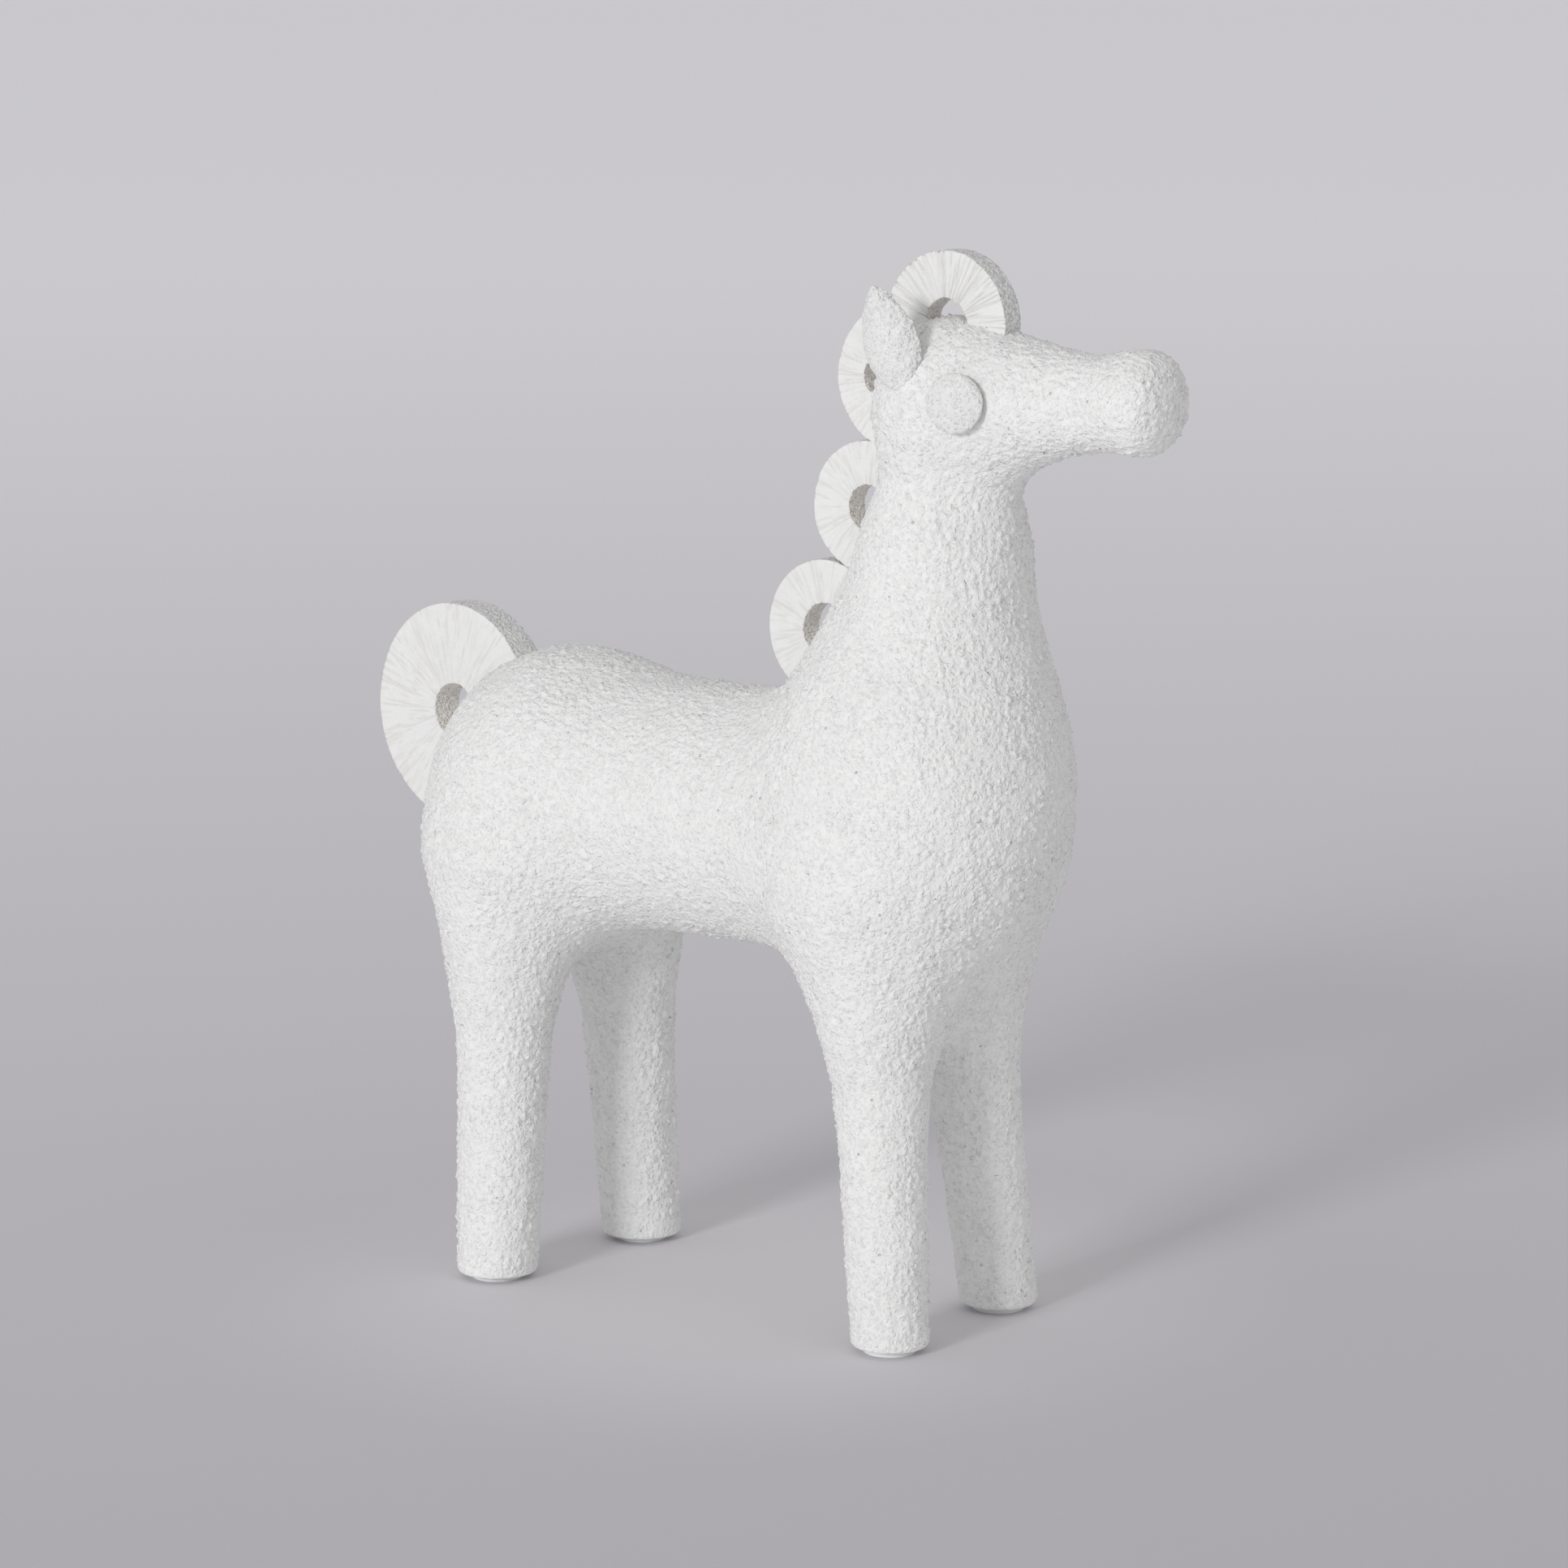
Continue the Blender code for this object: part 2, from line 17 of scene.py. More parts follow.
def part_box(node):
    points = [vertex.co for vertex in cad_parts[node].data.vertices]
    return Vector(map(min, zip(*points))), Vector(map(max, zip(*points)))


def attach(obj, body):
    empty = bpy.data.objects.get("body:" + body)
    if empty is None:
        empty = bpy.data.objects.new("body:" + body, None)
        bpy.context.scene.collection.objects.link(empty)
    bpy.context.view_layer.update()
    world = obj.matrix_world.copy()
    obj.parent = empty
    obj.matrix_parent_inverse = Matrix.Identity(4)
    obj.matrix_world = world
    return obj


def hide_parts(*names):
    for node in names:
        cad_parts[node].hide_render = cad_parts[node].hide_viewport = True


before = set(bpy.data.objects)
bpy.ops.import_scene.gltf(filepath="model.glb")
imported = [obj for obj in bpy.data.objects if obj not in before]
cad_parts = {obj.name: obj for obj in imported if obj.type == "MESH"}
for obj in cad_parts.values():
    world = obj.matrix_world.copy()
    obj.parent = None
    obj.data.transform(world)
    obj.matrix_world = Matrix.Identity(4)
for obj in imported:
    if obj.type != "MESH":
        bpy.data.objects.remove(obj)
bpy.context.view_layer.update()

# Foot pads
PAD_RADIUS = 0.011
PAD_THICKNESS = 0.002
PAD_EDGE = 0.0004
PAD_EDGE_STEPS = 5
PAD_CHAMFER = 0.0001
PAD_SHARP_ANGLE = 35.0
PAD_GAP = 0.0003
PAD_SIDES = 96

# Legs: where each foot stands, how thick a leg is at its foot, knee and hip, where its hip is,
# and how softly it runs into the trunk
FOOT_PLACES = {
    "front_right": (0.0985, -0.040),
    "front_left": (0.0935, 0.045),
    "rear_right": (-0.1125, -0.048),
    "rear_left": (-0.1065, 0.045),
}
FOOT_ROUNDING = 0.005
KNEE_Z = 0.105
KNEE_BLEND = 0.004
HIP_Z = 0.1856
Leg = namedtuple("Leg", "foot_radius knee_radius hip_x hip_y hip_radius blend")
FRONT_LEG = Leg(0.0167, 0.0196, 0.0805, 0.0275, 0.0365, 0.056)
REAR_LEG = Leg(0.0179, 0.0206, -0.1132, 0.0371, 0.0348, 0.0396)

# Trunk
RUMP = Vector((-0.105, 0.0, 0.2117))
RUMP_RADIUS = 0.0623
CHEST = Vector((0.0844, 0.0, 0.2445))
CHEST_RADIUS = 0.0554
BARREL_Z = 0.2127
BARREL_RADIUS = 0.0552
BARREL_BLEND = 0.0306

# Neck and head
NECK_BASE_RADIUS = 0.0492
NECK_TOP = Vector((0.0951, 0.0, 0.3275))
NECK_TOP_RADIUS = 0.037
NECK_BLEND = 0.0638
POLL = Vector((0.1023, 0.0, 0.3977))
POLL_RADIUS = 0.0352
BRIDGE = POLL + Vector((0.0591, 0.0, 0.0024))
BRIDGE_RADIUS = 0.0209
SADDLE = POLL + Vector((0.064, 0.0, 0.0018))
SADDLE_RADIUS = 0.0184
MUZZLE = POLL + Vector((0.0915, 0.0, 0.0042))
MUZZLE_RADIUS = 0.0222
MUZZLE_BLEND = 0.008
NOSE_END_X = MUZZLE.x + 0.0172
NOSE_ROUNDING = 0.02

# Mane and tail: each disc has its way along the neck line, its direction in degrees up from
# straight ahead, its centre's height over the clay there, its radius and its hole's, how far
# back of its centre the hole is, and its number in the row
Disc = namedtuple("Disc", "name along direction over radius hole hole_back number")
MANE_THICKNESS = 0.0115
MANE_DISCS = (
    Disc("withers", 0.0457, 172.7, 0.0112, 0.0298, 0.0114, 0.0, 1),
    Disc("neck", 0.1026, 174.1, 0.0015, 0.0281, 0.0095, 0.0, 2),
    Disc("nape", 0.1543, 164.6, -0.0058, 0.0303, 0.0076, 0.0088, 3),
    Disc("forelock", 0.1543, 95.0, -0.0033, 0.0303, 0.0105, 0.0, 4),
)
TAIL = Disc("tail", 0.0, 154.9, 0.0095, 0.0486, 0.0124, 0.0, 5)
TAIL_THICKNESS = 0.015
TAIL_TURN = -5.0
DISC_EDGE = 0.0005
DISC_STEP = 0.0011
DISC_SIDE_LENGTH = 0.0008
DISC_UNEVENNESS = 0.0012
DISC_GRAIN_SIZE = 0.0024
DISC_GRAIN_HEIGHT = 0.0004
COMB_LINES_PER_METRE = 380.0
COMB_WIDTH = 0.06
COMB_DEPTH = 0.0004

# The forelock is combed the deepest, so its mesh is the finest
FORELOCK_SIDE_LENGTH = 0.00038
FORELOCK_COMB_WIDTH = 0.07
FORELOCK_COMB_DEPTH = 0.0008

# Eyes
EYE_RADIUS = 0.0125
EYE_DOME = 0.0034
EYE_RIM = 0.002
EYE_DEPTH = 0.006
EYE_TUCK = 0.001
EYE_FORWARD = 0.0139
EYE_TURN = 3.0
EYE_SIDES = 120
EYE_RINGS = 26
EYE_TUCK_STEPS = (0.35, 0.7, 1.0)
EYE_GRAIN_SIZE = 0.0034
EYE_GRAIN_HEIGHT = 0.0004

# Ears
EAR_LENGTH = 0.0445
EAR_WIDTH = 0.0258
EAR_THICKNESS = 0.0065
EAR_CUP = 0.003
EAR_LOW_POWER = 0.75
EAR_FULL_POWER = 0.7
EAR_BACK = 0.0053
EAR_SIDE = 0.033
EAR_RISE = 0.0063
EAR_LEAN = 8.5
EAR_TILT = 12.5
EAR_TURN = 12.0
EAR_SIDES = 120
EAR_RINGS = 70
EAR_RIM_POWER = 8
EAR_GRAIN_SIZE = 0.003
EAR_GRAIN_HEIGHT = 0.0006

# The clay's skin: how finely it is worked out, and the grain of the clay on it
SKIN_CELL = 0.00105
SKIN_MARGIN = 0.012
SKIN_STEEPNESS = 0.1
GRAIN_SIZE = 0.0034
GRAIN_HEIGHT = 0.0012
GRAIN_STARTS_OVER_SOLE = 0.0005
GRAIN_FULL_OVER_SOLE = 0.004

# Where the skin is cut into pieces, and how close points are taken for one
HALF_CUT_X = -0.012
LEG_CUT_Z = 0.128
NECK_CUT_Z = 0.292
SAME_POINT = 1e-7
MERGE_REACH = 1e-6

# Glazes: how white, the size and the depth of the wrinkles, the distance between pits, the
# roughness, and the share of the depth on plain parts and on rims
Glaze = namedtuple("Glaze", "name white size depth pit_spacing roughness plain rough")
BODY_GLAZE = Glaze("glaze_on_body", 0.79, 0.0024, 0.0005, 0.006, 0.55, 1.0, 1.0)
DISC_GLAZE = Glaze("glaze_on_discs", 0.75, 0.002, 0.0008, 0.012, 0.6, 0.12, 1.2)
EAR_GLAZE = Glaze("glaze_on_ears", 0.75, 0.0022, 0.0007, 0.009, 0.55, 0.8, 1.4)
EYE_GLAZE = Glaze("glaze_on_eyes", 0.73, 0.0024, 0.0006, 0.007, 0.55, 1.0, 1.0)
THICK_TINT = (1.0, 1.0, 0.995)
THIN_TINT = (0.95, 0.95, 0.945)
THIN_ROUGHER = 0.15
GLAZE_SPECULAR = 0.35
# The hole walls: a warm tone of their own, made far paler than the glaze as painted light in the
# holes' shade
HOLE_TONE_AND_LIGHT = (0.93, 0.9, 0.86, 1.0)
# The colour of the clay that shows in pits, also laid in the combed grooves as painted shade
BARE_CLAY_AND_SHADE = (0.6, 0.575, 0.54, 1.0)

# The pads' two shades and how deep their pores are
PAD_DARK = (0.74, 0.74, 0.76, 1.0)
PAD_PALE = (0.82, 0.82, 0.83, 1.0)
PORE_DEPTH = 0.0001

# The studio: paper floor, with a pool of painted light round the figure and paler painted light far
# away, lights and surroundings
PAPER = (0.525, 0.51, 0.54, 1.0)
PAINTED_LIGHT_POOL_PAPER = (0.66, 0.645, 0.67, 1.0)
LIGHT_POOL_FROM, LIGHT_POOL_TO = 0.04, 0.27
PAINTED_LIGHT_FAR_PAPER = (0.97, 0.95, 0.99, 1.0)
THROWN_PAPER = (0.97, 0.96, 0.97, 1.0)
AWAY_FROM_VIEWER = (-0.616, 0.788, 0.0)
FLOOR_RADIUS = 30.0
Lamp = namedtuple("Lamp", "name azimuth elevation distance size power")
LAMPS = (Lamp("key", 4.0, 16.0, 6.0, 1.2, 152.0), Lamp("fill", 80.0, 5.0, 6.0, 3.0, 8.0))
LAMP_TARGET = Vector((0.0, 0.0, 0.23))
WORLD_WHITE = (1.0, 1.0, 1.0, 1.0)
WORLD_STRENGTH = 0.6

# The photograph's view: where the camera stands, and its lens as a share of its sensor
VIEW_AZIMUTH = 38.0
VIEW_ELEVATION = 9.6388
VIEW_DISTANCE = 2.367379
VIEW_TARGET_ALONG = 0.0084785
VIEW_TARGET_Z = 0.225910
VIEW_FOCAL_SHARE = 3.51238
SENSOR = 36.0
CLIP_END = 100.0

SOLE_Z = PAD_THICKNESS + PAD_GAP
Limb = namedtuple("Limb", "start end start_radius end_radius")
Roll = namedtuple("Roll", "limbs inner_blend blend")


def cad_shift():
    """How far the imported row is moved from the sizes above, read from one pad's place."""
    low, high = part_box("foot_pad_front_right")
    place = FOOT_PLACES["front_right"]
    return Vector(((low.x + high.x) / 2 - place[0], (low.y + high.y) / 2 - place[1], 0.0))


# Nodes, for geometry and materials alike


def feed(tree, socket, value):
    """Set a node's input, or link it where the value is another node's output."""
    if isinstance(value, bpy.types.NodeSocket):
        tree.links.new(value, socket)
    else:
        socket.default_value = value


def maths(tree, operation, *values):
    """A Math node's output."""
    node = tree.nodes.new("ShaderNodeMath")
    node.operation = operation
    for socket, value in zip(node.inputs, values):
        feed(tree, socket, value)
    return node.outputs["Value"]


def vector_maths(tree, operation, *values):
    """A Vector Math node's output."""
    node = tree.nodes.new("ShaderNodeVectorMath")
    node.operation = operation
    for socket, value in zip(node.inputs, values):
        feed(tree, socket, value)
    gives_number = operation in {"DOT_PRODUCT", "LENGTH"}
    return node.outputs["Value" if gives_number else "Vector"]


def scaled(tree, vector, scale):
    """A vector times a number."""
    node = tree.nodes.new("ShaderNodeVectorMath")
    node.operation = "SCALE"
    feed(tree, node.inputs["Vector"], vector)
    feed(tree, node.inputs["Scale"], scale)
    return node.outputs["Vector"]


def combined(tree, x, y, z):
    """A vector from three numbers."""
    node = tree.nodes.new("ShaderNodeCombineXYZ")
    for socket, value in zip(node.inputs, (x, y, z)):
        feed(tree, socket, value)
    return node.outputs["Vector"]


def parts_of(tree, vector):
    """The three numbers of a vector."""
    node = tree.nodes.new("ShaderNodeSeparateXYZ")
    feed(tree, node.inputs["Vector"], vector)
    return node.outputs["X"], node.outputs["Y"], node.outputs["Z"]


def ramped(tree, value, low, high, start=0.0, end=1.0):
    """A value carried smoothly from one range to another."""
    node = tree.nodes.new("ShaderNodeMapRange")
    node.interpolation_type = "SMOOTHSTEP"
    for name, given in (
        ("Value", value), ("From Min", low), ("From Max", high), ("To Min", start), ("To Max", end)
    ):
        feed(tree, node.inputs[name], given)
    return node.outputs["Result"]


def noise(tree, point, scale, detail=2.0, roughness=0.5, distortion=0.0):
    """A Noise Texture node's value."""
    node = tree.nodes.new("ShaderNodeTexNoise")
    feed(tree, node.inputs["Vector"], point)
    feed(tree, node.inputs["Scale"], scale)
    node.inputs["Detail"].default_value = detail
    node.inputs["Roughness"].default_value = roughness
    node.inputs["Distortion"].default_value = distortion
    return node.outputs[0]


def stirred(tree, point, size, amount):
    """A point moved about by noise of a given size, by a share of that size."""
    node = tree.nodes.new("ShaderNodeTexNoise")
    feed(tree, node.inputs["Vector"], point)
    feed(tree, node.inputs["Scale"], maths(tree, "DIVIDE", 1.0, size))
    node.inputs["Detail"].default_value = 1.0
    centred = vector_maths(tree, "SUBTRACT", node.outputs["Color"], (0.5, 0.5, 0.5))
    moved = scaled(tree, centred, maths(tree, "MULTIPLY", size, amount))
    return vector_maths(tree, "ADD", point, moved)


def pebbles(tree, point, size, softness):
    """Lumps of a given size from 0 in the creases between them up to 1, with soft shoulders."""
    node = tree.nodes.new("ShaderNodeTexVoronoi")
    node.feature = "DISTANCE_TO_EDGE"
    feed(tree, node.inputs["Vector"], stirred(tree, point, size, 1.1))
    feed(tree, node.inputs["Scale"], maths(tree, "DIVIDE", 1.0, size))
    return ramped(tree, node.outputs["Distance"], 0.0, softness)


def new_group(name, kind, inputs, outputs):
    """A node group with named sockets, each given as a name, a type and, for an input, a value."""
    group = bpy.data.node_groups.new(name, kind)
    for title, socket_type, value in inputs:
        socket = group.interface.new_socket(title, in_out="INPUT", socket_type=socket_type)
        if value is not None:
            socket.default_value = value
    for title, socket_type in outputs:
        group.interface.new_socket(title, in_out="OUTPUT", socket_type=socket_type)
    given = group.nodes.new("NodeGroupInput").outputs
    result = group.nodes.new("NodeGroupOutput").inputs
    return group, given, result


def placed_group(tree, group, **values):
    """A node group placed in a tree, its inputs set by name with _ for each space."""
    geometry = tree.bl_idname == "GeometryNodeTree"
    node = tree.nodes.new("GeometryNodeGroup" if geometry else "ShaderNodeGroup")
    node.node_tree = group
    for name, value in values.items():
        feed(tree, node.inputs[name.replace("_", " ")], value)
    return node.outputs


# The grain of the clay, as a height over the smooth skin


def clay_grain_group():
    """Node group: how far the grogged clay under the glaze stands over its smooth skin."""
    group, given, result = new_group(
        "clay_grain",
        "GeometryNodeTree",
        (
            ("Point", "NodeSocketVector", None),
            ("Size", "NodeSocketFloat", GRAIN_SIZE),
            ("Height", "NodeSocketFloat", GRAIN_HEIGHT),
        ),
        (("Offset", "NodeSocketFloat"),),
    )
    point, size = given["Point"], given["Size"]
    scale = maths(group, "DIVIDE", 1.0, size)
    swells = noise(group, point, maths(group, "MULTIPLY", scale, 0.3), 1.0)
    # Lumps that stand higher in some places than in others, with finer grains between them
    strength = ramped(group, noise(group, point, maths(group, "MULTIPLY", scale, 0.2)), 0.3, 0.7)
    strength = maths(group, "MULTIPLY_ADD", strength, 0.6, 0.6)
    coarse = maths(group, "MULTIPLY", pebbles(group, point, size, 0.5), strength)
    fine = noise(group, point, maths(group, "MULTIPLY", scale, 1.5), 1.0, 0.6, 0.4)
    # Each of the three is brought down to lie about nought before they are added up
    total = maths(group, "MULTIPLY_ADD", swells, 1.1, -0.55)
    total = maths(group, "MULTIPLY_ADD", fine, 1.1, maths(group, "SUBTRACT", total, 0.55))
    total = maths(group, "ADD", total, maths(group, "SUBTRACT", coarse, 0.45))
    feed(group, result["Offset"], maths(group, "MULTIPLY", total, given["Height"]))
    return group


CLAY_GRAIN = clay_grain_group()


def grain_over(tree, given, point):
    """How far the grain stands over a point, by the tree's own inputs for it."""
    size, height = given["Grain Size"], given["Grain Height"]
    return placed_group(tree, CLAY_GRAIN, Point=point, Size=size, Height=height)["Offset"]


def kept_as(tree, geometry, name, value):
    """A mesh with a number kept at each of its points under a name."""
    node = tree.nodes.new("GeometryNodeStoreNamedAttribute")
    node.inputs["Name"].default_value = name
    feed(tree, node.inputs["Geometry"], geometry)
    feed(tree, node.inputs["Value"], value)
    return node.outputs["Geometry"]


def attribute(tree, name):
    """The number that a mesh keeps at each of its points under a name."""
    node = tree.nodes.new("GeometryNodeInputNamedAttribute")
    node.inputs["Name"].default_value = name
    return node.outputs["Attribute"]


def finish_tree(tree, geometry, result, material):
    """Shade a tree's mesh smooth, and end the tree in Realize Instances and Set Material."""
    kinds = ("GeometryNodeSetShadeSmooth", "GeometryNodeRealizeInstances", "GeometryNodeSetMaterial")
    for kind in kinds:
        node = tree.nodes.new(kind)
        feed(tree, node.inputs["Geometry"], geometry)
        geometry = node.outputs["Geometry"]
    feed(tree, node.inputs["Material"], material)
    feed(tree, result["Geometry"], geometry)


def raised(tree, geometry, height):
    """Move each point of a mesh out along its normal."""
    normal = tree.nodes.new("GeometryNodeInputNormal").outputs["Normal"]
    move = tree.nodes.new("GeometryNodeSetPosition")
    feed(tree, move.inputs["Geometry"], geometry)
    feed(tree, move.inputs["Offset"], scaled(tree, normal, height))
    return move.outputs["Geometry"]


# The clay body


def leg_limbs(leg, foot_x, foot_y):
    """The two limbs of a leg: from under the sole up to the knee, and on to the hip."""
    foot = Vector((foot_x, foot_y, SOLE_Z))
    hip = Vector((leg.hip_x, math.copysign(leg.hip_y, foot_y), HIP_Z))
    knee = foot.lerp(hip, (KNEE_Z - SOLE_Z) / (HIP_Z - SOLE_Z))
    share = leg.foot_radius / (knee - foot).length
    below = foot.lerp(knee, -share)
    below_radius = leg.foot_radius - (leg.knee_radius - leg.foot_radius) * share
    lower = Limb(below, knee, below_radius, leg.knee_radius)
    return lower, Limb(knee, hip, leg.knee_radius, leg.hip_radius)


def limb_distance_group():
    """Node group: how far a point lies outside a tapered limb of clay with round ends."""
    group, given, result = new_group(
        "limb_distance",
        "GeometryNodeTree",
        (
            ("Point", "NodeSocketVector", None),
            ("Start", "NodeSocketVector", None),
            ("End", "NodeSocketVector", None),
            ("Start Radius", "NodeSocketFloat", None),
            ("End Radius", "NodeSocketFloat", None),
        ),
        (("Distance", "NodeSocketFloat"),),
    )
    axis = vector_maths(group, "SUBTRACT", given["End"], given["Start"])
    offset = vector_maths(group, "SUBTRACT", given["Point"], given["Start"])
    along = vector_maths(group, "DOT_PRODUCT", offset, axis)
    share = maths(group, "DIVIDE", along, vector_maths(group, "DOT_PRODUCT", axis, axis))
    share.node.use_clamp = True
    beside = vector_maths(group, "SUBTRACT", offset, scaled(group, axis, share))
    taper = maths(group, "SUBTRACT", given["End Radius"], given["Start Radius"])
    radius = maths(group, "MULTIPLY_ADD", share, taper, given["Start Radius"])
    distance = maths(group, "SUBTRACT", vector_maths(group, "LENGTH", beside), radius)
    feed(group, result["Distance"], distance)
    return group


def ball(centre, radius):
    """A round lump of clay, as a limb of no length."""
    return Limb(centre, centre, radius, radius)


def clay_rolls():
    """The clay in the order that it is put together, from the barrel out to the legs."""
    back, front = Vector((RUMP.x, 0.0, BARREL_Z)), Vector((CHEST.x, 0.0, BARREL_Z))
    nose = Limb(POLL, BRIDGE, POLL_RADIUS, BRIDGE_RADIUS)
    muzzle = Limb(SADDLE, MUZZLE, SADDLE_RADIUS, MUZZLE_RADIUS)
    rolls = [
        Roll([Limb(back, front, BARREL_RADIUS, BARREL_RADIUS)], 0.0, BARREL_BLEND),
        Roll([ball(RUMP, RUMP_RADIUS)], 0.0, BARREL_BLEND),
        Roll([ball(CHEST, CHEST_RADIUS)], 0.0, BARREL_BLEND),
        Roll([Limb(CHEST, NECK_TOP, NECK_BASE_RADIUS, NECK_TOP_RADIUS)], 0.0, NECK_BLEND),
        Roll([nose, muzzle], MUZZLE_BLEND, NECK_BLEND),
    ]
    for foot_x, foot_y in FOOT_PLACES.values():
        leg = FRONT_LEG if foot_x > 0.0 else REAR_LEG
        rolls.append(Roll(leg_limbs(leg, foot_x, foot_y), KNEE_BLEND, leg.blend))
    return rolls


def clay_bounds():
    """The box that the clay's skin is looked for in."""
    corners = []
    for limb in [limb for roll in clay_rolls() for limb in roll.limbs]:
        for centre, radius in ((limb.start, limb.start_radius), (limb.end, limb.end_radius)):
            spread = Vector((radius, radius, radius))
            corners += [centre - spread, centre + spread]
    low = [min(corner[axis] for corner in corners) - SKIN_MARGIN for axis in range(3)]
    high = [max(corner[axis] for corner in corners) + SKIN_MARGIN for axis in range(3)]
    low[2] = SOLE_Z - SKIN_MARGIN
    return low, high


def clay_distance(tree, point):
    """How far a point lies outside the clay, all its limbs run together."""
    group = limb_distance_group()
    clay = None
    for roll in clay_rolls():
        step = None
        for limb in roll.limbs:
            ends = {"Start": limb.start, "End": limb.end}
            radii = {"Start_Radius": limb.start_radius, "End_Radius": limb.end_radius}
            away = placed_group(tree, group, Point=point, **ends, **radii)["Distance"]
            step = away if step is None else maths(tree, "SMOOTH_MIN", step, away, roll.inner_blend)
        clay = step if clay is None else maths(tree, "SMOOTH_MIN", clay, step, roll.blend)
    return clay


def skin_where_nought(tree, distance):
    """The mesh on which a distance is nought, by way of a fine volume around the clay."""
    density = maths(tree, "MULTIPLY_ADD", distance, -SKIN_STEEPNESS / SKIN_CELL, 0.5)
    density.node.use_clamp = True
    low, high = clay_bounds()
    cube = tree.nodes.new("GeometryNodeVolumeCube")
    cube.inputs["Min"].default_value = low
    cube.inputs["Max"].default_value = high
    for axis, letter in enumerate("XYZ"):
        cells = max(2, round((high[axis] - low[axis]) / SKIN_CELL))
        cube.inputs["Resolution " + letter].default_value = cells
    feed(tree, cube.inputs["Density"], density)
    skin = tree.nodes.new("GeometryNodeVolumeToMesh")
    skin.inputs["Threshold"].default_value = 0.5
    feed(tree, skin.inputs["Volume"], cube.outputs["Volume"])
    return skin.outputs["Mesh"]


def clay_tree():
    """Geometry nodes for the clay's skin, cut flat at soles and nose, with its grain raised."""
    tree, given, result = new_group(
        "grogged_clay",
        "GeometryNodeTree",
        (
            ("Sole Height", "NodeSocketFloat", SOLE_Z),
            ("Sole Rounding", "NodeSocketFloat", FOOT_ROUNDING),
            ("Grain Size", "NodeSocketFloat", GRAIN_SIZE),
            ("Grain Height", "NodeSocketFloat", GRAIN_HEIGHT),
            ("Glaze", "NodeSocketMaterial", None),
        ),
        (("Geometry", "NodeSocketGeometry"),),
    )
    point = tree.nodes.new("GeometryNodeInputPosition").outputs["Position"]
    ahead, _, height = parts_of(tree, point)
    under = maths(tree, "SUBTRACT", given["Sole Height"], height)
    clay = clay_distance(tree, point)
    clay = maths(tree, "SMOOTH_MAX", clay, under, given["Sole Rounding"])
    beyond = maths(tree, "SUBTRACT", ahead, NOSE_END_X)
    clay = maths(tree, "SMOOTH_MAX", clay, beyond, NOSE_ROUNDING)
    grain = grain_over(tree, given, point)
    over_sole = maths(tree, "SUBTRACT", height, given["Sole Height"])
    kept = ramped(tree, over_sole, GRAIN_STARTS_OVER_SOLE, GRAIN_FULL_OVER_SOLE)
    skin = skin_where_nought(tree, clay)
    rough = raised(tree, skin, maths(tree, "MULTIPLY", grain, kept))
    finish_tree(tree, rough, result, given["Glaze"])
    return tree


# Meshes


def add_object(name, data):
    """A new object in the scene: a mesh, a light or a camera."""
    thing = bpy.data.objects.new(name, data)
    bpy.context.scene.collection.objects.link(thing)
    return thing


def bake_modifiers(thing):
    """Replace an object's mesh with what its modifiers make of it."""
    bpy.context.view_layer.update()
    evaluated = thing.evaluated_get(bpy.context.evaluated_depsgraph_get())
    mesh = bpy.data.meshes.new_from_object(evaluated)
    old = thing.data
    thing.modifiers.clear()
    thing.data = mesh
    bpy.data.meshes.remove(old)
    return thing


def keep_last_material(mesh):
    """Leave a mesh with the last of its materials alone, on all its faces."""
    material = mesh.materials[-1]
    mesh.materials.clear()
    mesh.materials.append(material)
    mesh.polygons.foreach_set("material_index", np.zeros(len(mesh.polygons), np.int32))


def made_by(tree, thing, **values):
    """Run a geometry tree on an object, its inputs set by name with _ for each space."""
    nodes = thing.modifiers.new(tree.name, "NODES")
    nodes.node_group = tree
    identifiers = {
        item.name: item.identifier
        for item in tree.interface.items_tree
        if item.item_type == "SOCKET" and item.in_out == "INPUT"
    }
    for name, value in values.items():
        nodes[identifiers[name.replace("_", " ")]] = value
    bake_modifiers(thing)
    keep_last_material(thing.data)
    return thing


def turned(name, profile, sides):
    """A closed turned shape about its own Z axis, from points of radius and height."""
    mesh = bpy.data.meshes.new(name)
    bm = bmesh.new()
    verts = [bm.verts.new((radius, 0.0, height)) for radius, height in profile]
    for first, second in zip(verts, verts[1:]):
        bm.edges.new((first, second))
    bm.to_mesh(mesh)
    bm.free()
    thing = add_object(name, mesh)
    screw = thing.modifiers.new("turn", "SCREW")
    screw.steps = sides
    screw.render_steps = sides
    screw.use_merge_vertices = True
    screw.merge_threshold = MERGE_REACH
    bake_modifiers(thing)
    bm = bmesh.new()
    bm.from_mesh(thing.data)
    bmesh.ops.remove_doubles(bm, verts=bm.verts[:], dist=SAME_POINT)
    bmesh.ops.recalc_face_normals(bm, faces=bm.faces[:])
    bm.to_mesh(thing.data)
    bm.free()
    return thing


def keep_normals(mesh, normals):
    """Give a mesh the normals that it had before it was cut, and its flat caps their own."""
    corners = np.empty(len(mesh.loops), np.int32)
    mesh.loops.foreach_get("vertex_index", corners)
    wanted = normals[corners]
    for polygon in mesh.polygons:
        if not polygon.use_smooth:
            first = polygon.loop_start
            wanted[first : first + polygon.loop_total] = polygon.normal
    mesh.normals_split_custom_set(wanted)


